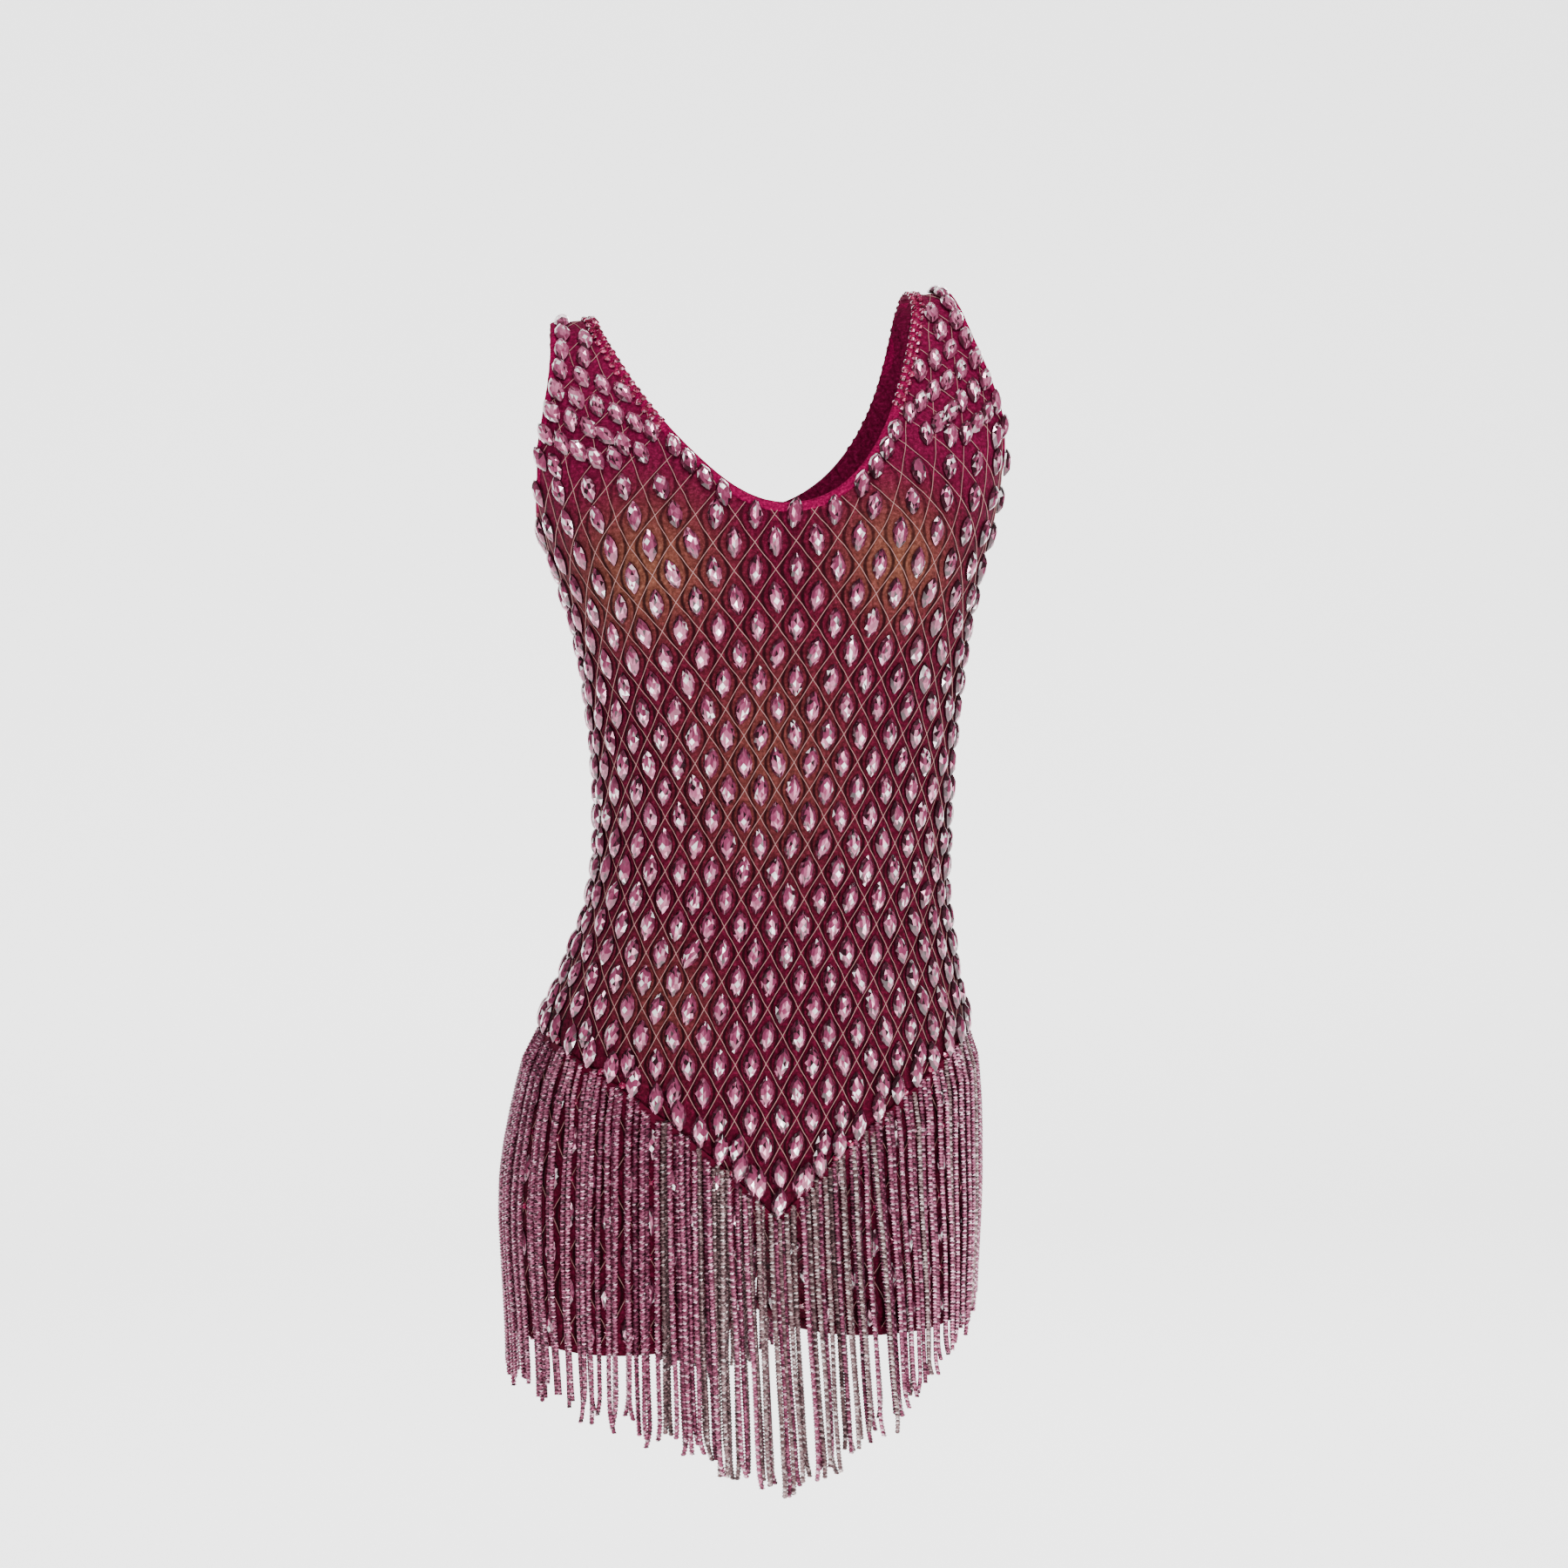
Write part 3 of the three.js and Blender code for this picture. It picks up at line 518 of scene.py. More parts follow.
def edge_table(side):
    """Heights and half widths of one side's neckline, of the armhole and of its foot."""
    end = ARM_UPPER[-1]
    x, out, _ = FORMS[side].half_row(down_to(end["z"]))
    neck_x = np.linspace(0, NECK[side][0]["x"], 200)
    arm_z = np.linspace(end["z"], 0, 60)
    share = np.linspace(0, 1, 60)
    return dict(
        neck_x=neck_x,
        neck_z=smooth(NECK[side], "x", "z")(neck_x),
        arm_x=arm_x(arm_z),
        arm_z=arm_z,
        foot_out=share * np.interp(end["x"], x, out),
        foot_z=smooth(ARM_FOOT, "share", "z")(share),
    )


EDGES = {side: edge_table(side) for side in FORMS}


def neck_half(side, z):
    return np.interp(z, EDGES[side]["neck_z"], EDGES[side]["neck_x"], left=0.0)


def foot_out(side, z):
    return np.interp(z, EDGES[side]["foot_z"], EDGES[side]["foot_out"], left=0.0)


def inner_round(side, v):
    """Where the body's cloth starts, going round: the neckline, or the centre line under it."""
    z = float(height_at(v))
    x = float(neck_half(side, z))
    return FORMS[side].round_to(v, "x", x) if x > 0 else 0.0


def outer_round(side, v):
    """Where the body's cloth ends, going round: the armhole, or the side seam under it."""
    z = float(height_at(v))
    if z > ARM_UPPER[-1]["z"]:
        return FORMS[side].round_to(v, "x", float(arm_x(z)))
    if z > ARM_FOOT[-2]["z"]:
        return FORMS[side].round_to(v, "out", float(foot_out(side, z)))
    return float(FORMS[side].reach(v))


def nearest(x, z, line_x, line_z):
    """The distance from each place to the nearest point of a line."""
    return np.min(np.hypot(x[..., None] - line_x, z[..., None] - line_z), axis=-1)


def clearances(side, u, v):
    """How far places lie inside the edges of the body panel."""
    form, edge = FORMS[side], EDGES[side]
    u, v = np.broadcast_arrays(np.asarray(u, float), np.asarray(v, float))
    z = height_at(v)
    x, out, reach = form.read(form.x, u, v), form.read(form.out, u, v), form.reach(v)
    neck = nearest(x, z, edge["neck_x"], edge["neck_z"])
    neck = np.where(x > neck_half(side, z) - 0.01, neck, -neck)
    end = ARM_UPPER[-1]["z"]
    upper = nearest(x, z, edge["arm_x"], edge["arm_z"])
    foot = nearest(out, z, edge["foot_out"], edge["foot_z"])
    arm = np.minimum(np.where(z > end - 15, upper, FAR), np.where((z <= end) & (z > end - 45), foot, FAR))
    past = np.where(z > end, x > arm_x(z), (z > ARM_FOOT[-2]["z"]) & (out < foot_out(side, z)))
    arm = np.where(past, -arm, arm)
    yoke = yoke_down(np.clip(u / reach, -1, 1)) - v
    return dict(neck=neck, arm=arm, seam=reach - np.abs(u), yoke=yoke, shoulder=v)


def on_body(side, u, v, **margins):
    """Which places lie on the body panel, at least the given margins inside its edges."""
    inside = clearances(side, u, v)
    return np.all([inside[key] >= margins.get(key, 0.0) for key in inside], axis=0)


def on_leg(side, hand, u, v, yoke_margin=0.0, hem_margin=0.0, out_margin=0.3):
    form = FORMS[side]
    reach = form.reach(v)
    inside = (u * hand > 0.2) & (np.abs(u) <= reach) & (height_at(v) > HEM + hem_margin)
    inside &= form.read(form.out, u, v) > out_margin
    return inside & (v > yoke_down(np.clip(u / reach, -1, 1)) + yoke_margin)


def level_of(row, size):
    closer = ROW_CLOSER["by"] * (1 - np.exp(-np.asarray(row, float) / ROW_CLOSER["over"]))
    return (row * ROW_PITCH - closer) * size


def lean_of(level, u):
    """How much higher than at the centre line a row of the net lies, as it leans up towards the sides."""
    lean = ROW_LEAN["most"] * (1 - smoothstep(ROW_LEAN["start"], ROW_LEAN["end"], level))
    return lean * (np.hypot(u, ROW_LEAN["bend"]) - ROW_LEAN["bend"])


def net_place(column, row, size=1.0):
    """Lengths round and down of a place in the net."""
    level = level_of(row, size)
    u = column * pitch_at(height_at(level)) * size
    return u, level - lean_of(level, u)


def net_coordinates(u, v, size):
    """The net's column and row at places on the cloth: net_place() the other way round."""
    level = np.array(v, float)
    for _ in range(14):
        level = v + lean_of(level, u)
    rows = np.arange(-3, 60, 0.1)
    return u / (pitch_at(height_at(level)) * size), np.interp(level, level_of(rows, size), rows)


def net_rows(size):
    return int((RUN + ROW_CLOSER["by"]) / (ROW_PITCH * size)) + 1


def make_mesh(name, points, faces, material, face_values=None, smooth_faces=False):
    """A mesh object from points in millimetres, with one number to a face for each named attribute."""
    mesh = bpy.data.meshes.new(name)
    mesh.from_pydata((np.asarray(points, float) * MM).tolist(), [], np.asarray(faces).tolist())
    for key, values in (face_values or {}).items():
        layer = mesh.attributes.new(key, "FLOAT", "FACE")
        layer.data.foreach_set("value", np.asarray(values, np.float32))
    mesh.polygons.foreach_set("use_smooth", np.full(len(mesh.polygons), smooth_faces))
    mesh.materials.append(material)
    mesh.update()
    piece = bpy.data.objects.new(name, mesh)
    bpy.context.scene.collection.objects.link(piece)
    return piece


def belong(piece, replaced=None):
    """Puts a piece on the garment's one body, and hides the solid that it replaces."""
    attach(piece, "root")
    if replaced:
        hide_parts(replaced)
    return piece


def add_map(piece, name, u, v):
    """A UV map with the given values at the mesh's points."""
    layer = piece.data.uv_layers.new(name=name)
    corners = np.zeros(len(piece.data.loops), int)
    piece.data.loops.foreach_get("vertex_index", corners)
    values = np.stack([u, v], axis=-1)[corners]
    layer.data.foreach_set("uv", values.ravel())


def add_cloth_map(piece, u, v):
    """A UV map in which one unit is 100 mm of cloth."""
    add_map(piece, "cloth", np.asarray(u) / 100, np.asarray(v) / 100)


def shell(name, side, hand, u, v, net_size, material):
    """Thin and slightly uneven cloth over a grid of places, closed round its edges."""
    uneven = 0.35 * np.sin(u * 0.11 + 1.3) * np.sin(v * 0.083) + 0.25 * np.sin(u * 0.05 - v * 0.07) - SUNK
    layers = [FORMS[side].cloth(u, v, uneven - under).reshape(-1, 3) for under in (0, CLOTH)]
    index = np.arange(u.size).reshape(u.shape)
    corners = [index[:-1, :-1], index[1:, :-1], index[1:, 1:], index[:-1, 1:]]
    quads = np.stack(corners, axis=-1).reshape(-1, 4)
    rim = np.concatenate([index[0, :], index[1:, -1], index[-1, -2::-1], index[-2:0:-1, 0]])
    after = np.roll(rim, -1)
    walls = np.stack([rim, after, after + u.size, rim + u.size], axis=-1)
    faces = np.concatenate([quads, quads[:, ::-1] + u.size, walls])
    if hand * side > 0:
        faces = faces[:, ::-1]
    piece = make_mesh(name, np.concatenate(layers), faces, material, smooth_faces=True)
    add_cloth_map(piece, np.tile(u.ravel(), 2), np.tile(v.ravel(), 2))
    column, row = net_coordinates(u.ravel(), v.ravel(), net_size)
    add_map(piece, "net", np.tile(column, 2), np.tile(row, 2))
    return belong(piece)


def body_half(side, hand):
    """The grid of lengths round and down for one half of a body panel."""
    level = float(down_to(BODY_ROWS["level"]))
    turn = float(down_to(BODY_ROWS["turn"]))
    upper = np.arange(BODY_ROWS["top"], turn, BODY_ROWS["upper_step"])
    downs = np.concatenate([upper, np.arange(turn, level, BODY_ROWS["lower_step"])])
    s = np.linspace(0, 1, BODY_ROWS["columns"])
    u = np.array([inner_round(side, v) + s * (outer_round(side, v) - inner_round(side, v)) for v in downs])
    v = np.repeat(downs[:, None], len(s), axis=1)
    t = np.linspace(0, 1, BODY_ROWS["yoke_rows"])[:, None]
    low_v = level + t * (yoke_down(s)[None, :] - level)
    low_u = s[None, :] * FORMS[side].reach(low_v)
    return hand * np.concatenate([u, low_u]), np.concatenate([v, low_v])


def body_cloth(side, face, material):
    """The body panel, its two halves meeting on the centre line, as one thin shell."""
    halves = [
        shell(f"cloth_body_{face}_{which}", side, hand, *body_half(side, hand), 1.0, material)
        for which, hand in HANDS.items()
    ]
    joined = join(halves, f"cloth_body_{face}")
    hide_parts(f"body_{face}")
    return joined


def join(pieces, name):
    """One mesh of several."""
    for piece in bpy.context.view_layer.objects:
        piece.select_set(piece in pieces)
    bpy.context.view_layer.objects.active = pieces[0]
    bpy.ops.object.join()
    pieces[0].name = name
    pieces[0].data.name = name
    return pieces[0]


def leg_grid(side, hand):
    """The grid of lengths round and down for one leg panel, from the inner leg to the side seam."""
    form = FORMS[side]
    hem = float(down_to(HEM + LEG_ROWS["over_hem"]))
    s = np.linspace(0, 1, LEG_ROWS["columns"])[None, :]
    t = np.linspace(0, 1, LEG_ROWS["rows"])[:, None]
    share = np.repeat(s, LEG_ROWS["rows"], axis=0)
    for _ in range(4):
        top = yoke_down(share) + LEG_ROWS["under_yoke"]
        v = top + t * (hem - top)
        start = np.array([[inner_leg(form, down) for down in row] for row in v])
        share = start + s * (1 - start)
    return hand * share * form.reach(v), v


def inner_leg(form, v):
    """The share round at which a leg's cloth starts."""
    _, out, shares = form.half_row(v)
    under = np.nonzero(out[:30] <= LEG_ROWS["least_out"])[0]
    return shares[under[-1] + 1] if len(under) else 0.001


def leg_cloth(side, face, which, material):
    name = f"leg_{face}_{which}"
    hand = HANDS[which]
    piece = shell(f"cloth_{name}", side, hand, *leg_grid(side, hand), LEG_NET, material)
    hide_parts(name)
    return piece


def tube(path, out, radius, sides):
    """Rings of points round a path: path and out are lists of points and directions."""
    ahead = unit(np.gradient(path, axis=0))
    across = unit(np.cross(ahead, out))
    up = np.cross(across, ahead)
    turn = np.arange(sides) * 2 * math.pi / sides
    ring = across[:, None, :] * np.cos(turn)[:, None] + up[:, None, :] * np.sin(turn)[:, None]
    return path[:, None, :] + ring * radius


def tube_faces(rings, sides, start=0, closed=False):
    """Quads between a tube's rings of points, numbered from start. closed joins its two ends."""
    index = start + np.arange(rings * sides).reshape(rings, sides)
    after = np.roll(index, -1, axis=1)
    quads = np.stack([index, after, np.roll(after, -1, axis=0), np.roll(index, -1, axis=0)], axis=-1)
    return (quads if closed else quads[:-1]).reshape(-1, 4)


def facing_out(points, faces):
    """The quads of a closed shape, turned to look out."""
    a, b, c, d = (points[faces[:, k]] for k in range(4))
    inside_out = np.sum(a * (np.cross(b, c) + np.cross(c, d))) < 0
    return faces[:, [0, 3, 2, 1]] if inside_out else faces


def net_lines(size):
    """Columns and rows along every thread of the net, in both diagonals."""
    row = np.arange(-1, net_rows(size) * THREAD["steps"] + 1) / THREAD["steps"]
    for start in np.arange(-3 * COLUMNS, 3 * COLUMNS) + 0.5:
        for lean in (0.5, -0.5):
            column = start + lean * row
            near = np.abs(column) <= COLUMNS
            if near.any():
                yield column[near], row[near]


def net(name, side, size, allowed, material):
    """The threads over a panel, as one mesh of thin tubes."""
    form = FORMS[side]
    points, faces, count = [], [], 0
    for column, row in net_lines(size):
        u, v = net_place(column, row, size)
        v = np.clip(v, 0, LAST_DOWN)
        good = allowed(u, v)
        for run in np.split(np.arange(len(u)), np.nonzero(np.diff(good.astype(int)))[0] + 1):
            if not good[run[0]] or len(run) < 3:
                continue
            wave = 0.25 * np.sin(v[run] * 0.35 + u[run] * 0.2)
            path = form.cloth(u[run] + wave, v[run], THREAD["over"])
            out = form.read(form.normals, u[run], v[run])
            points.append(tube(path, out, THREAD["radius"], THREAD["sides"]).reshape(-1, 3))
            faces.append(tube_faces(len(run), THREAD["sides"], count))
            count += len(run) * THREAD["sides"]
    piece = make_mesh(name, np.concatenate(points), np.concatenate(faces), material, smooth_faces=True)
    return belong(piece)


def gem(rings, outline, peak=None):
    """Points and faces of one stone: x across, y down and z out, in millimetres.

    Its foot, its girdle and its upper ring have as many points each. outline gives x and y at an angle.
    """
    points = []
    for row in rings:
        x, y = outline((np.arange(row["count"]) + row["turn"]) * 2 * math.pi / row["count"])
        z = np.full(row["count"], row["z"])
        points.append(np.stack([x * row["size"], y * row["size"], z], axis=-1))
    if peak:
        points.append(np.array([[0, 0, peak]]))
    count = rings[0]["count"]
    faces = []
    for k in range(count):
        after = (k + 1) % count
        girdle, beside, upper = count + k, count + after, 2 * count + k
        faces += [[k, after, beside], [k, beside, girdle]]
        faces += [[girdle, beside, upper], [beside, 2 * count + after, upper]]
    return np.concatenate(points), faces


def marquise():
    a, b = STONE["half_length"], STONE["half_width"]
    radius = (a * a + b * b) / (2 * b)

    def outline(angle):
        y = a * np.cos(angle)
        x = (np.sqrt(radius**2 - y**2) - (radius - b)) * np.sign(np.sin(angle) + 1e-9)
        return np.where(np.abs(np.sin(angle)) < 1e-6, 0, x), y

    points, faces = gem(STONE_RINGS, outline, STONE["peak"])
    shoulder, top, peak = 24, 36, 42
    for j in range(6):
        here, after = top + j, top + (j + 1) % 6
        one, two, three = shoulder + 2 * j, shoulder + 2 * j + 1, shoulder + (2 * j + 2) % 12
        faces += [[here, one, after], [one, two, after], [after, two, three], [here, after, peak]]
    return outward(points, np.array(faces))


def ruby():
    def outline(angle):
        return RUBY_RADIUS * np.cos(angle), RUBY_RADIUS * np.sin(angle)

    points, faces = gem(RUBY_RINGS, outline)
    faces += [[16, 16 + j, 17 + j] for j in range(1, 7)]
    return outward(points, np.array(faces))


def outward(points, faces):
    """A stone's points, and its faces turned so that each looks away from its middle."""
    middle = points.mean(axis=0) * [1, 1, 0.3]
    a, b, c = (points[faces[:, k]] for k in range(3))
    away = np.sum(np.cross(b - a, c - a) * ((a + b + c) / 3 - middle), axis=-1)
    return points, np.where((away > 0)[:, None], faces, faces[:, ::-1])


def marquise_painted_tones(points, faces, glints_low):
    """How bright each facet of each stone is painted: 0 is plum, about a half is pink and 1 is white. The
    brightness is painted light: painted glints and lighter facets toward the glinting end, painted shade on
    the walls and the rim, most on the rim's +x side.
    """
    centre = points[faces].mean(axis=1)
    y = centre[:, 1] / STONE["half_length"]
    wall = centre[:, 2] < STONE_RINGS[1]["z"]
    top = np.any(faces == len(points) - 1, axis=1)
    rim = ~wall & (centre[:, 2] < STONE_RINGS[2]["z"] - 0.3)
    shape = (len(glints_low), len(faces))
    toward = np.where(glints_low, 1, -1)[:, None] * y[None, :]
    tone = DICE.uniform(0.34, 0.56, shape) + 0.06 * toward
    tone = np.where(rim, DICE.uniform(0.12, 0.40, shape) - 0.10 * np.sign(centre[:, 0]), tone)
    tone = np.where(wall, DICE.uniform(0.0, 0.10, shape), tone)
    tone = np.where(top, DICE.uniform(0.40, 0.62, shape), tone)
    # Painted highlights: white glints on the top facets toward the glinting end, and a few elsewhere; pale
    # facets are painted light and dark ones painted shade.
    lit = top & (toward > 0.1)
    glint = lit & (DICE.random(shape) < 0.62)
    glint |= ~wall & (DICE.random(shape) < 0.03)
    pale = ~wall & ~glint & (toward > 0) & (DICE.random(shape) < 0.10)
    dark = ~wall & ~lit & (DICE.random(shape) < 0.12)
    return np.where(glint, 1.0, np.where(pale, 0.78, np.where(dark, 0.05, tone)))


def set_stones(name, shape, places, turn, lean, material, tones, lift=0.0):
    """Copies of one stone on the cloth, as one mesh. places are (side, u, v) rows, turn is in degrees."""
    lift, turn = np.broadcast_to(lift, len(places)), np.broadcast_to(turn, len(places))
    points, faces = shape
    made, index = [], []
    for side in (FRONT, BACK):
        mine = np.nonzero(places[:, 0] == side)[0]
        if not len(mine):
            continue
        u, v = places[mine, 1], places[mine, 2]
        across, down, out = FORMS[side].frame(u, v)
        angle = np.radians(turn[mine])[:, None]
        c, s = np.cos(angle), np.sin(angle)
        across, down = across * c + down * s, down * c - across * s
        tip = np.radians(DICE.normal(0, lean, (2, len(u))))[..., None]
        axes = np.stack([across, down, unit(out + across * tip[0] + down * tip[1])], axis=1)
        size = DICE.uniform(0.97, 1.03, (len(u), 1, 1))
        made.append(FORMS[side].cloth(u, v, lift[mine])[:, None] + (points[None] * size) @ axes)
        index.append(mine)
    step = np.arange(len(places))[:, None, None] * len(points)
    all_points, all_faces = np.concatenate(made).reshape(-1, 3), (faces[None] + step).reshape(-1, 3)
    tone = tones[np.concatenate(index)].ravel()
    return belong(make_mesh(name, all_points, all_faces, material, {"tone": tone}))


def places_on(side, size, allowed, knots=False):
    """Places (side, u, v) of the diamonds' middles, or of the knots between them, where allowed."""
    grid = np.array([
        (step + (row % 2) / 2 + (0.5 if knots else 0), float(row))
        for row in range(net_rows(size))
        for step in range(-COLUMNS, COLUMNS + 1)
    ])
    u, v = net_place(grid[:, 0], grid[:, 1], size)
    good = (v > 0) & (v < LAST_DOWN)
    u, v = u[good], v[good]
    good = allowed(u, v)
    return np.stack([np.full(good.sum(), side), u[good], v[good]], axis=-1)


def inset(line, more):
    """Places beside each point of a line, far enough for an upright stone to lie clear of it."""
    slopes = unit(np.gradient(line, axis=0))
    normal = np.stack([slopes[:, 1], -slopes[:, 0]], axis=-1)
    reach = np.hypot(normal[:, 0] * STONE["half_width"], normal[:, 1] * STONE["half_length"]) + more
    return line + normal * reach[:, None]


def edge_stones(side):
    """Places of the stones that follow the armholes, the lower neckline and the yoke line."""
    rows = []
    for column in range(STRAP_COLUMNS["count"]):
        v = ARM_STONES["back_start" if side == BACK else "start"] + (column % 2) * ARM_STONES["step"] / 2
        while height_at(v) > (STRAP_COLUMNS["end"] if column else ARM_STONES["end"]):
            u = outer_round(side, v) - ARM_STONES["inside"] - column * STRAP_COLUMNS["across"]
            beside = RUBY_BAND["neck"] if height_at(v) > RUBY_BAND["lowest"] else NECK_STONES["beside"]
            if u > inner_round(side, v) + beside:
                rows.append((u, v))
            v += ARM_STONES["step"]
    edge = EDGES[side]
    line = resample(edge["neck_x"], edge["neck_z"], NECK_STONES["step"])
    set_in = inset(line, NECK_STONES["clear"])
    for x, z in set_in[(line[:, 1] < RUBY_BAND["lowest"]) & (line[:, 0] > NECK_STONES["bare"])]:
        rows.append(place_at(side, 1, "x", x, z)[1:])
    shares = np.linspace(YOKE_STONES["from_share"], 0.97, 80)
    downs = yoke_down(shares)
    line = resample(shares * FORMS[side].reach(downs), downs, YOKE_STONES["step"])
    rows += inset(line, YOKE_STONES["clear"]).tolist()
    tip = (side, 0.0, float(yoke_down(0.0)) - YOKE_STONES["tip"])
    return np.array([(side, hand * u, v) for u, v in rows for hand in (1, -1)] + [tip])


def make_room(places, edge):
    """Stones of the net beside those along the edges: moved clear of them, or left out if too near."""
    size = np.array([KEEP_OFF["across"], KEEP_OFF["down"]])
    away = (places[:, None, 1:] - edge[None, :, 1:]) / size
    off = np.linalg.norm(away, axis=-1)
    first = np.argmin(off, axis=1)
    row = np.arange(len(places))
    off, away = off[row, first], away[row, first]
    beside = edge[first, 1:] + away / off[:, None] * size
    moved = np.where((off < 1)[:, None], beside, places[:, 1:])
    return np.column_stack([places[:, 0], moved])[off > KEEP_OFF["nearest"]]


def body_places(side):
    """The stones of one side: those along its edges, and those of the net with room beside them."""
    margins = dict(STONE_MARGINS, shoulder=SHOULDER_MARGIN[side])
    places = places_on(side, 1.0, lambda u, v: on_body(side, u, v, **margins))
    edge = edge_stones(side)
    z = height_at(places[:, 2])
    by_neck = clearances(side, places[:, 1], places[:, 2])["neck"] < RUBY_BAND["neck"]
    band = (z > RUBY_BAND["lowest"]) & by_neck | (z > ARM_STONES["net_from"])
    return np.concatenate([make_room(places[~band], edge), edge])


def lift_at_edges(side, u, v):
    """How far a binding or the fringe's roots lift the stones that lie on them."""
    inside = clearances(side, u, v)
    by_binding = np.minimum(inside["neck"], inside["arm"]) < BY_EDGE["binding"]
    lift = np.where(by_binding, BY_EDGE["on_binding"], 0.0)
    return np.where(inside["yoke"] < BY_EDGE["yoke"], BY_EDGE["over_roots"], lift)


def body_stones(material):
    """One stone to a diamond, and stones along the edges, none of them doubled at the seams."""
    set_already = np.zeros((0, 3))
    for face, side in SIDES.items():
        places = body_places(side)
        at = FORMS[side].cloth(places[:, 1], places[:, 2])
        near = np.linalg.norm(at[:, None] - set_already[None], axis=-1).min(axis=1, initial=FAR)
        good = near > KEEP_OFF["seam"]
        places, set_already = places[good], np.concatenate([set_already, at[good]])
        u, v = places[:, 1], places[:, 2]
        z = height_at(v)
        strap = STONE_TURN["strap"] * smoothstep(STONE_TURN["start"], STONE_TURN["end"], z)
        turn = strap * np.tanh(u / STONE_TURN["over"]) + DICE.normal(0, STONE_TURN["uneven"], len(u))
        # Painted highlights: glints at the stones' low ends below the chest; painted light: paler tones on
        # the straps.
        share = smoothstep(GLINT_LOW["top"], GLINT_LOW["foot"], z) * GLINT_LOW["more"] + GLINT_LOW["least"]
        tones = marquise_painted_tones(*marquise(), DICE.random(len(u)) < share)
        tones += STRAP_PAINTED_LIGHT["by"] * smoothstep(STRAP_PAINTED_LIGHT["foot"], STRAP_PAINTED_LIGHT["top"], z)[:, None]
        lift = lift_at_edges(side, u, v)
        set_stones(f"stones_{face}", marquise(), places, turn, STONE_LEAN, material, tones, lift)


def leg_stones(pink, red):
    marquises, rubies = [], []
    for side in (FRONT, BACK):
        for hand in HANDS.values():
            allowed = lambda u, v: on_leg(side, hand, u, v, **LEG_STONES)
            marquises.append(places_on(side, LEG_NET, allowed))
            rubies.append(places_on(side, LEG_NET, allowed, knots=True))
    marquises = np.concatenate(marquises)
    points, faces = marquise()
    points = points * LEG_STONE_SIZE
    tones = marquise_painted_tones(points, faces, np.full(len(marquises), True))
    turn = DICE.normal(0, STONE_TURN["uneven"], len(marquises))
    set_stones("stones_legs", (points, faces), marquises, turn, 1, pink, tones)
    set_rubies("rubies_legs", np.concatenate(rubies), red, lean=2)


def set_rubies(name, places, material, size=1.0, lift=0.0, lean=5):
    """Small round stones, level or leaning a little, each facet with its own random tone, the brightest of
    them painted glints.
    """
    points, faces = ruby()
    tones = DICE.random((len(places), len(faces)))
    set_stones(name, (points * [size, size, 1] + [0, 0, lift], faces), places, 0, lean, material, tones)


def neck_rubies(material):
    """Two rows of small round stones up each side of the neckline, over the shoulders."""
    pitch = NECK_RUBIES["pitch"]
    rows = []
    for side in (FRONT, BACK):
        for hand in HANDS.values():
            for first, off in ((0, NECK_RUBIES["near"]), (pitch / 2, NECK_RUBIES["far"])):
                v = NECK_RUBIES["start"] + first
                while v < NECK_RUBIES["end"]:
                    u = inner_round(side, v)
                    rows.append((side, hand * (u + off), v))
                    v += pitch / math.hypot(1, inner_round(side, v + 1) - u)
    set_rubies("rubies_neck", np.array(rows), material, lift=NECK_RUBIES["lift"])


def yoke_rubies(material):
    """Small round stones here and there along the yoke line."""
    rows = []
    for side in (FRONT, BACK):
        reach = float(FORMS[side].reach(down_to(-500)))
        for k in range(-8, 9):
            place = k + YOKE_RUBIES["uneven"] * math.sin(k * 2.3) + YOKE_RUBIES["aside"]
            share = place * YOKE_RUBIES["pitch"] / reach
            if 0.03 < abs(share) < 0.97:
                v = float(yoke_down(share)) - YOKE_RUBIES["above"]
                rows.append((side, share * float(FORMS[side].reach(v)), v))
    set_rubies("rubies_yoke", np.array(rows), material, YOKE_RUBIES["size"], YOKE_RUBIES["lift"])


def binding(name, path, into, out, width, material, replaced):
    """A rounded strip of folded cloth along a closed edge."""
    strips = [path + into * (width * part) + out * (BINDING_HIGH * lift) for part, lift in BINDING_PROFILE]
    points = np.stack(strips, axis=1).reshape(-1, 3)
    faces = facing_out(points, tube_faces(len(path), len(strips), closed=True))
    piece = make_mesh(name, points, faces, material, smooth_faces=True)
    across = [part * width for part, _ in BINDING_PROFILE]
    add_cloth_map(piece, np.repeat(run_along(*path.T), len(strips)), np.tile(across, len(path)))
    return belong(piece, replaced)


def edge_frames(places, toward):
    """Path, direction into the cloth and direction out, round a closed edge. places are (side, u, v)."""
    path = np.array([FORMS[side].cloth(u, v) for side, u, v in places])
    out = np.array([FORMS[side].read(FORMS[side].normals, u, v) for side, u, v in places])
    out = unit(np.roll(out, 1, axis=0) + out * 2 + np.roll(out, -1, axis=0))
    ahead = np.roll(path, -1, axis=0) - np.roll(path, 1, axis=0)
    return path, unit(np.cross(ahead, out)) * toward, out


def resample(x, z, step):
    """Points (x, z) along a polyline at equal spacing."""
    length = run_along(x, z)
    at = np.linspace(0, length[-1], max(2, int(length[-1] / step)) + 1)
    return np.stack([np.interp(at, length, x), np.interp(at, length, z)], axis=-1)


def place_at(side, hand, column, value, z):
    """The place (side, u, v) at a height where x or out has a value."""
    v = float(down_to(z))
    return side, hand * FORMS[side].round_to(v, column, value), v


def round_trip(run_of):
    """A closed loop of places: along the front's run, and back along the back's without its two ends."""
    return run_of(FRONT) + run_of(BACK)[-2:0:-1]


def neck_run(side):
    """Places along half the neckline, from the wearer's right shoulder to the left one."""
    half = resample(EDGES[side]["neck_x"], EDGES[side]["neck_z"], EDGE_STEP)
    right, left = ([place_at(side, hand, "x", x, z) for x, z in half] for hand in (-1, 1))
    return right[:0:-1] + left


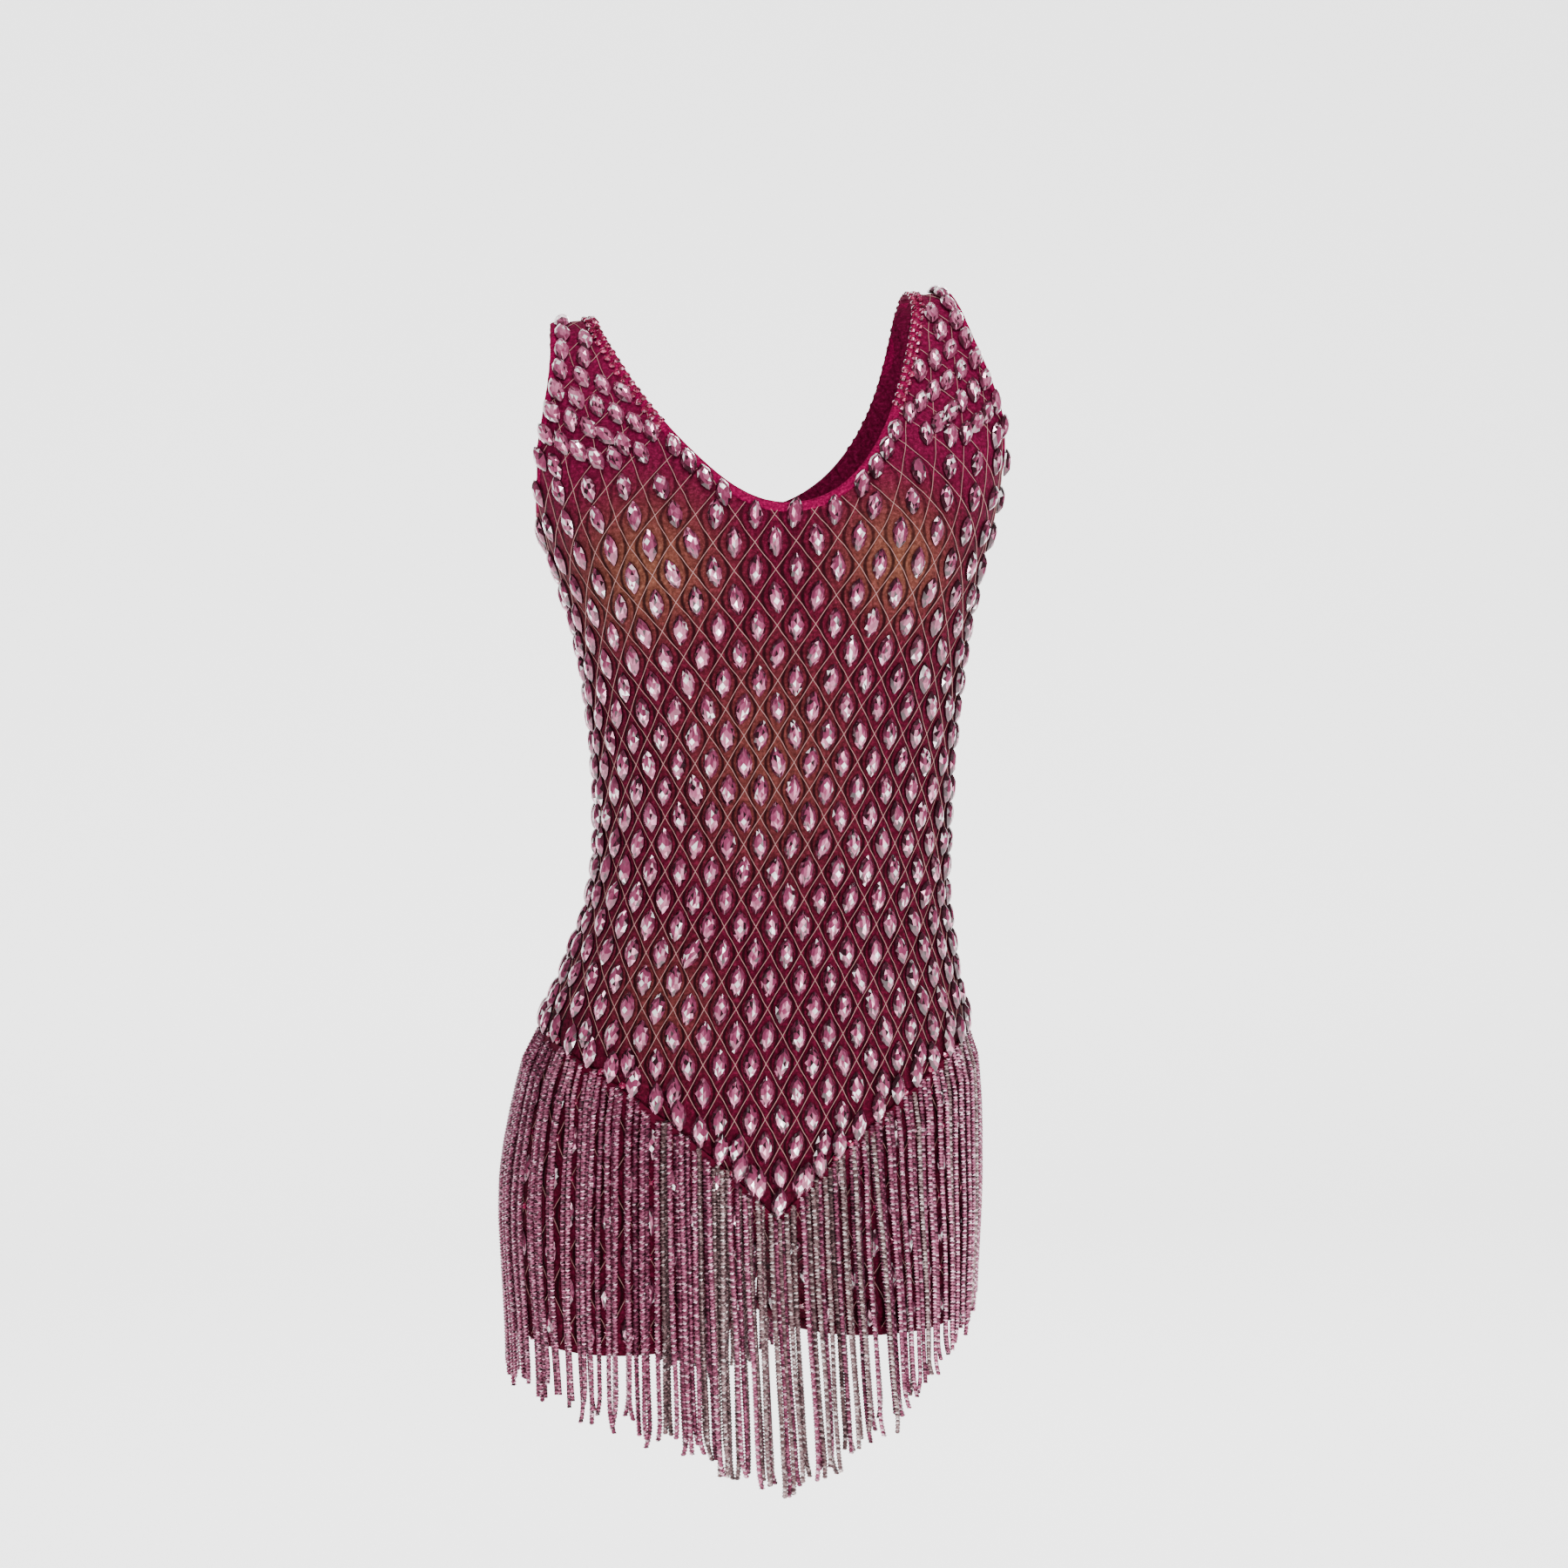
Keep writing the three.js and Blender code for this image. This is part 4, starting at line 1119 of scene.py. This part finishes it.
def arm_run(side, hand):
    """Places down an armhole from the shoulder, and along its foot to the side seam."""
    edge = EDGES[side]
    z = np.linspace(0, ARM_UPPER[-1]["z"], 80)
    foot = resample(edge["foot_out"][::-1], edge["foot_z"][::-1], EDGE_STEP)[1:]
    upper = [place_at(side, hand, "x", x, z) for x, z in resample(arm_x(z), z, EDGE_STEP)]
    return upper + [place_at(side, hand, "out", out, z) for out, z in foot]


def leg_run(side, hand):
    """Places along half a leg's hem, from the inner leg to the side seam."""
    v = float(down_to(HEM))
    start = FORMS[side].round_to(v, "x", LEGS["inner"] + 0.6)
    shares = (1 - np.cos(np.linspace(0, math.pi, 44))) / 2
    return [(side, hand * (start + s * (float(FORMS[side].reach(v)) - start)), v) for s in shares]


def bindings(material, leg_material):
    binding("binding_neck", *edge_frames(round_trip(neck_run), 1), NECK_BINDING, material, "neck_binding")
    for which, hand in HANDS.items():
        frames = edge_frames(round_trip(lambda side: arm_run(side, hand)), hand)
        binding(f"binding_arm_{which}", *frames, ARM_BINDING, material, f"arm_binding_{which}")
        places = round_trip(lambda side: leg_run(side, hand))
        path = np.array([FORMS[side].cloth(u, v) for side, u, v in places])
        up = np.tile([0.0, 0.0, 1.0], (len(path), 1))
        out = unit(path - path.mean(axis=0))
        binding(f"binding_leg_{which}", path, up, out, LEG_BINDING, leg_material, f"leg_binding_{which}")


def tape(side, hand, name, material):
    """The fringe's tape: a thin strip along the yoke line."""
    form = FORMS[side]
    shares = np.linspace(0.004, 0.998, 60) * hand
    corners = []
    for below, lift in ((0, "under"), (TAPE["high"], "under"), (TAPE["high"], "over"), (0, "over")):
        v = yoke_down(shares) + TAPE["below"] + below
        corners.append(form.cloth(shares * form.reach(v), v, TAPE[lift]))
    points = np.stack(corners, axis=1).reshape(-1, 3)
    ends = np.array([[3, 2, 1, 0], np.arange(4) + 4 * (len(shares) - 1)])
    faces = facing_out(points, np.concatenate([tube_faces(len(shares), 4), ends]))
    return belong(make_mesh(name, points, faces, material))


def out_from(form, hand, root, flat, v):
    """How far the cloth at some lengths down stands out from roots, along level directions."""
    shares = np.linspace(0, 1, 60)[None, :] * hand
    v = np.asarray(v)[:, None]
    place = form.read(form.points, shares * form.reach(v), v) - root[:, None]
    off = flat[:, None, 0] * place[..., 1] - flat[:, None, 1] * place[..., 0]
    out = flat[:, None, 0] * place[..., 0] + flat[:, None, 1] * place[..., 1]
    off = np.where(out > -BEHIND, np.abs(off), FAR)
    return np.take_along_axis(out, np.argmin(off, axis=1)[:, None], axis=1)[:, 0]


def strand_lines(side, hand, shares, lift, start):
    """Each strand's root, its level direction out, and how far out it stands at each of FALLS."""
    form = FORMS[side]
    v = yoke_down(shares) + TAPE["below"] + start
    root = form.cloth(shares * form.reach(v), v, TAPE["over"])
    flat = unit(form.read(form.normals, shares * form.reach(v), v) * [1, 1, 0])
    stand = np.zeros((len(shares), len(FALLS)))
    for k, fall in enumerate(FALLS[1:], start=1):
        level = down_to(height_at(v) - fall)
        clear = out_from(form, hand, root, flat, level) + lift * min(1, fall / 14)
        stand[:, k] = np.maximum(stand[:, k - 1], clear)
    return root, flat, stand


strand_length = smooth(STRAND_LENGTHS, "share", "length")
strand_lean = smooth(STRAND_LENGTHS, "share", "lean")


def aside(side, x, fall, sway):
    """How far a strand that hangs at x has moved across, all the way down: clumps and partings."""
    clump = np.sin(x * 0.11 + 0.8) * 0.5 + np.sin(x * 0.043 + 2.0) * 0.5 + np.sin(x * 0.31) * 0.3
    moved = sway * clump * (fall / 200) ** 1.3
    for gap in PARTINGS:
        if gap["side"] == side:
            off = x - gap["x"]
            by = gap["by"] * math.copysign(math.exp(-abs(off) / gap["wide"]), off)
            moved = moved + by * smoothstep(0.2 * gap["fall"], gap["fall"], fall)
    return moved


def strand_rings(root, flat, fall, out, moved):
    """The points of one strand, ring by ring: square links, each turned an eighth on the last."""
    across = np.array([-flat[1], flat[0], 0]) * (1 if flat[1] < 0 else -1)
    path = root + flat * out[:, None] + across * moved[:, None]
    path[:, 2] = root[2] - fall
    ring = np.where(np.arange(len(fall)) % 2 == 0, STRAND["radius"], STRAND["waist"])
    sides = np.arange(STRAND["sides"]) * 2 * math.pi / STRAND["sides"]
    turn = np.arange(len(fall))[:, None] * math.pi / 4 + sides
    swing = across * np.cos(turn)[..., None] + flat * np.sin(turn)[..., None]
    return (path[:, None] + swing * ring[:, None, None]).reshape(-1, 3)


def strand_path(side, x, share, stand, sway):
    """One strand's falls, and how far out and across it is at each, with a length and wander of its own."""
    length = float(strand_length(share)) + STRAND["ragged"] * DICE.uniform(-1, 0.8)
    fall = np.linspace(0, length, int(length / STRAND["ring"]))
    own = DICE.uniform(-1, 1)
    lean = float(strand_lean(share)) if side == FRONT else 0.0
    moved = aside(side, x, fall, sway) + lean * fall**1.5 / 14
    moved += (WANDER["own"] * own + WANDER["wave"] * np.sin(fall * 0.06 + own * 9)) * fall / length
    out = np.interp(fall, FALLS, stand) - INWARD["by"] * smoothstep(INWARD["start"], INWARD["end"], fall)
    from_end = np.clip((fall - length) / WANDER["end_over"] + 1, 0, 1)
    return fall, out, moved + DICE.uniform(-1, 1) * WANDER["end"] * from_end**2


def strand_looks(x, rings, layer_shade):
    """For each face of a strand, whether it is grey, and its painted glint: brighter on every other face,
    with painted shade on faces turned edge-on, and painted shade or light by layer.
    """
    row, column = np.divmod(np.arange((rings - 1) * STRAND["sides"]), STRAND["sides"])
    grey = np.full(len(row), float(DICE.random() < silver_share(x)))
    edge_on_shade = np.abs(np.cos(row * math.pi / 4 + (column + 0.5) * math.pi / 2))
    glint = 0.30 + layer_shade + 0.34 * ((row + column) % 2) - 0.30 * edge_on_shade
    return grey, glint + DICE.uniform(-0.18, 0.40, len(row))


def fringe_quarter(side, hand, face, which, chain, cloth_material):
    points, faces, looks, count = [], [], [], 0
    for layer in LAYERS:
        mine = np.arange(layer["first"], STRANDS * layer["end"], layer["step"])
        shares = hand * np.clip((mine + 0.5 + DICE.uniform(-0.5, 0.5, len(mine))) / STRANDS, 0.006, 0.994)
        start = DICE.uniform(STRAND["root_low"], STRAND["root_high"], len(mine))
        lines = strand_lines(side, hand, shares, layer["lift"], start)
        for share, root, flat, stand in zip(shares, *lines):
            fall, out, moved = strand_path(side, root[0], share, stand, layer["sway"])
            points.append(strand_rings(root, flat, fall, out, moved))
            faces.append(tube_faces(len(fall), STRAND["sides"], count))
            looks.append(strand_looks(root[0], len(fall), layer["tone"]))
            count += len(points[-1])
    tones, glints = (np.concatenate(values) for values in zip(*looks))
    piece = make_mesh(f"cords_{face}_{which}", np.concatenate(points), np.concatenate(faces), chain,
                      {"tone": tones, "glint": glints})
    belong(piece, f"fringe_{face}_{which}")
    tape(side, hand, f"tape_{face}_{which}", cloth_material)


def silver_share(x):
    """How many of the strands at x are champagne grey: most a little to the wearer's left of the middle."""
    return 0.12 + 0.45 * math.exp(-(((x - 10) / 45) ** 2)) + 0.1 * math.exp(-(((x - 95) / 30) ** 2))


def feed(tree, socket, value):
    """Gives an input a number or a colour, or links another node's output to it."""
    if isinstance(value, (int, float, tuple)):
        socket.default_value = value
    else:
        tree.links.new(value, socket)


def feed_all(tree, made, inputs):
    for name, value in inputs.items():
        feed(tree, made.inputs[name], value)


def node(tree, kind, inputs=None, **settings):
    """A new node with its settings, and with its inputs fed by name."""
    made = tree.nodes.new(kind)
    for key, value in settings.items():
        setattr(made, key, value)
    feed_all(tree, made, inputs or {})
    return made


def new_material(name, roughness, metallic):
    material = bpy.data.materials.new(name)
    material.use_nodes = True
    tree = material.node_tree
    shader = tree.nodes["Principled BSDF"]
    feed_all(tree, shader, {"Roughness": roughness, "Metallic": metallic})
    return material, tree, shader


def ramp(tree, factor, stops):
    """A colour between stops, each a place from 0 to 1 and a colour."""
    made = node(tree, "ShaderNodeValToRGB", {"Fac": factor})
    elements = made.color_ramp.elements
    while len(elements) < len(stops):
        elements.new(0.5)
    for element, (at, colour) in zip(elements, stops):
        element.position = at
        element.color = (*colour, 1)
    return made.outputs["Color"]


def maths(tree, operation, *values):
    """A maths node. Each value is a socket or a number."""
    made = node(tree, "ShaderNodeMath", operation=operation)
    for socket, value in zip(made.inputs, values):
        feed(tree, socket, value)
    return made.outputs[0]


def mix_colour(tree, factor, first, second):
    """The first colour mixed with the second, by a factor of how much of the second shows."""
    made = node(tree, "ShaderNodeMix", data_type="RGBA")
    for name, value in (("Factor", factor), ("A", first), ("B", second)):
        feed(tree, next(one for one in made.inputs if one.name == name and one.enabled), value)
    return next(one for one in made.outputs if one.enabled)


def attribute(tree, name):
    """A number that the mesh carries."""
    return node(tree, "ShaderNodeAttribute", attribute_name=name).outputs["Fac"]


def uv_map(tree, name):
    return node(tree, "ShaderNodeUVMap", uv_map=name).outputs["UV"]


def noise(tree, place, scale, detail, roughness):
    inputs = {"Vector": place, "Scale": scale, "Detail": detail, "Roughness": roughness}
    return node(tree, "ShaderNodeTexNoise", inputs).outputs["Fac"]


def bump(tree, shader, height, strength, distance):
    made = node(tree, "ShaderNodeBump", {"Height": height, "Strength": strength, "Distance": distance})
    feed(tree, shader.inputs["Normal"], made.outputs["Normal"])


def pucker(tree):
    """1 along the creases that run down between the stones, bulging round each, and 0 away from them: bump
    grooves are cut there and painted shade is laid along them.
    """
    parts = node(tree, "ShaderNodeSeparateXYZ", {"Vector": uv_map(tree, "net")})
    half_columns = maths(tree, "MULTIPLY", parts.outputs["X"], 2.0)
    turn = maths(tree, "COSINE", maths(tree, "MULTIPLY", maths(tree, "FLOOR", half_columns), math.pi))
    beat = maths(tree, "COSINE", maths(tree, "MULTIPLY", parts.outputs["Y"], math.pi))
    bulge = maths(tree, "MULTIPLY", maths(tree, "MULTIPLY", turn, beat), 0.21)
    off = maths(tree, "SUBTRACT", maths(tree, "SUBTRACT", maths(tree, "FRACT", half_columns), 0.5), bulge)
    ends = {"From Min": 0.03, "From Max": 0.15, "To Min": 1.0, "To Max": 0.0}
    made = node(tree, "ShaderNodeMapRange", ends, interpolation_type="SMOOTHSTEP")
    feed(tree, made.inputs["Value"], maths(tree, "ABSOLUTE", off))
    return made.outputs["Result"]


def mesh_cloth_material():
    """Crinkled stretch mesh: mottled wine, magenta towards the straps, warmer where pulled thin, and
    darkened by painted shade in the creases between the stones.
    """
    material, tree, shader = new_material("wine_mesh", 0.74, 0.0)
    place = uv_map(tree, "cloth")
    mottle = noise(tree, place, 42, 8, 0.75)
    wine, fresh, thin = (ramp(tree, mottle, stops) for stops in (WINE, FRESH, THIN_MESH))
    colour = mix_colour(tree, attribute(tree, "fresh"), wine, fresh)
    colour = mix_colour(tree, attribute(tree, "stretch"), colour, thin)
    crease_bump_and_shade = maths(tree, "MULTIPLY", pucker(tree), maths(tree, "SUBTRACT", 1.0, attribute(tree, "fresh")))
    weave = node(tree, "ShaderNodeTexWave", {"Vector": place, "Scale": 60, "Distortion": 6},
                 wave_type="BANDS", bands_direction="DIAGONAL")
    fine = maths(tree, "ADD", mottle, maths(tree, "MULTIPLY", weave.outputs["Fac"], 0.3))
    bump(tree, shader, maths(tree, "SUBTRACT", fine, maths(tree, "MULTIPLY", crease_bump_and_shade, 1.6)), 0.8, 0.0007)
    feed_all(tree, shader, {
        # Painted shade: the creases are darkened towards the near-black crease colour.
        "Base Color": mix_colour(tree, maths(tree, "MULTIPLY", crease_bump_and_shade, 0.88), colour, CREASE_SHADE),
        "Specular IOR Level": 0.05,
        "Sheen Weight": 0.01,
        "Sheen Roughness": 0.4,
    })
    return material


def binding_material():
    """Bright magenta turned edges, ribbed by the stretch stitch."""
    material, tree, shader = new_material("magenta_binding", 0.85, 0.0)
    knit = noise(tree, uv_map(tree, "cloth"), 60, 6, 0.7)
    bump(tree, shader, knit, 0.7, 0.0006)
    feed_all(tree, shader, {"Base Color": ramp(tree, knit, MAGENTA), "Specular IOR Level": 0.05})
    return material


def thread_material():
    material, tree, shader = new_material("net_thread", 0.5, 0.0)
    feed_all(tree, shader, {"Base Color": (0.38, 0.185, 0.175, 1)})
    return material


def stone_material(name, stops):
    """Faceted stones: each facet's tone is painted light, with glints, reflections and shade standing in
    for the light that the foil behind it throws back.
    """
    material, tree, shader = new_material(name, 0.12, 0.35)
    colour = ramp(tree, attribute(tree, "tone"), stops)
    coat = {"Coat Weight": 1.0, "Coat Roughness": 0.03, "Coat IOR": 1.45}
    feed_all(tree, shader, {"Base Color": colour, **coat})
    return material


def chain_material():
    """Metallic chain cord: pink or champagne grey, each link face with its own painted glint or painted
    shade.
    """
    material, tree, shader = new_material("chain_cord", 0.36, 0.5)
    glint = attribute(tree, "glint")
    pink, grey = (ramp(tree, glint, stops) for stops in (PINK_CHAIN, GREY_CHAIN))
    feed_all(tree, shader, {"Base Color": mix_colour(tree, attribute(tree, "tone"), pink, grey)})
    return material


def mark_stretch(piece, front):
    """Two numbers to each point of the cloth: how far it is pulled thin, and how magenta it is."""
    mesh = piece.data
    points = np.zeros(len(mesh.vertices) * 3)
    mesh.vertices.foreach_get("co", points)
    x, _, z = points.reshape(-1, 3).T / MM
    stretch = np.zeros(len(x))
    for spot in THIN if front else ():
        off = ((x - spot["x"]) / spot["wide"]) ** 2 + ((z - spot["z"]) / spot["high"]) ** 2
        stretch = np.maximum(stretch, spot["share"] * np.exp(-off))
    for name, values in (("stretch", stretch), ("fresh", 0.75 * smoothstep(-190, -70, z))):
        layer = mesh.attributes.new(name, "FLOAT", "POINT")
        layer.data.foreach_set("value", values.astype(np.float32))


def build_cloth(material):
    for face, side in SIDES.items():
        mark_stretch(body_cloth(side, face, material), side == FRONT)
        for which in HANDS:
            mark_stretch(leg_cloth(side, face, which, material), False)


def declare_cloth():
    """Lists, for each panel, what is sewn or set on it; the lists are not kept."""
    for face in SIDES:
        sewn = [f"net_body_{face}", f"stones_{face}"]
        if face == "front":
            sewn += ["binding_neck", "binding_arm_left", "binding_arm_right", "rubies_neck", "rubies_yoke"]
        for which in HANDS:
            sewn = [f"net_leg_{face}_{which}", f"cords_{face}_{which}", f"tape_{face}_{which}"]
            if face == "front":
                sewn += [f"binding_leg_{which}"]


def build_net(material):
    for face, side in SIDES.items():
        net(f"net_body_{face}", side, 1.0,
            lambda u, v: on_body(side, u, v, neck=2.5, arm=2.0, seam=0.2), material)
        for which, hand in HANDS.items():
            net(f"net_leg_{face}_{which}", side, LEG_NET,
                lambda u, v: on_leg(side, hand, u, v, 1.0, 2.0), material)


def aimed(name, data, place, toward):
    """A camera or a lamp at a place, looking along a direction."""
    made = bpy.data.objects.new(name, data)
    made.location = place
    made.rotation_euler = toward.to_track_quat("-Z", "Y").to_euler()
    bpy.context.scene.collection.objects.link(made)
    return made


def camera():
    azimuth = math.radians(CAMERA["azimuth"])
    right = Vector((math.cos(azimuth), math.sin(azimuth), 0))
    back = Vector((math.sin(azimuth), -math.cos(azimuth), 0))
    aim = right * CAMERA["aside"] + Vector((0, 0, CAMERA["height"]))
    data = bpy.data.cameras.new("camera")
    data.sensor_width = SENSOR
    data.lens = SENSOR / 2 / math.tan(math.radians(CAMERA["view"] / 2))
    bpy.context.scene.camera = aimed("camera", data, aim + back * CAMERA["distance"], -back)


def lights():
    for row in LAMPS:
        lamp = bpy.data.lights.new(row["name"], "AREA")
        lamp.size = row["size"]
        lamp.energy = row["power"]
        lamp.color = row["colour"]
        aimed(row["name"], lamp, row["place"], LIT_POINT - Vector(row["place"]))
    world = bpy.data.worlds.new("studio")
    world.use_nodes = True
    tree = world.node_tree
    feed_all(tree, tree.nodes["Background"], {"Color": (1, 1, 1, 1), "Strength": 0.18})
    bpy.context.scene.world = world


def backdrop():
    """A pale sweep behind and under the garment, well clear of it."""
    points = np.array([(x, y, z) for y, z in SWEEP for x in (-SWEEP_HALF, SWEEP_HALF)]) / MM
    faces = [[k, k + 1, k + 3, k + 2] for k in range(0, len(points) - 2, 2)]
    material, tree, shader = new_material("pale_paper", 0.9, 0.0)
    glow = {"Emission Color": (1, 1, 1, 1), "Emission Strength": 2.2}
    feed_all(tree, shader, {"Base Color": (0.92, 0.92, 0.92, 1), **glow})
    make_mesh("backdrop", points, faces, material, smooth_faces=True)


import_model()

mesh_cloth = mesh_cloth_material()
magenta = binding_material()
thread = thread_material()
pink_stone = stone_material("pink_stone", PINK_STONES)
red_stone = stone_material("red_stone", RED_STONES)
chain = chain_material()

build_cloth(mesh_cloth)
build_net(thread)
body_stones(pink_stone)
leg_stones(pink_stone, red_stone)
neck_rubies(red_stone)
yoke_rubies(red_stone)
bindings(magenta, mesh_cloth)
for face, side in SIDES.items():
    for which, hand in HANDS.items():
        fringe_quarter(side, hand, face, which, chain, mesh_cloth)
declare_cloth()
camera()
lights()
backdrop()
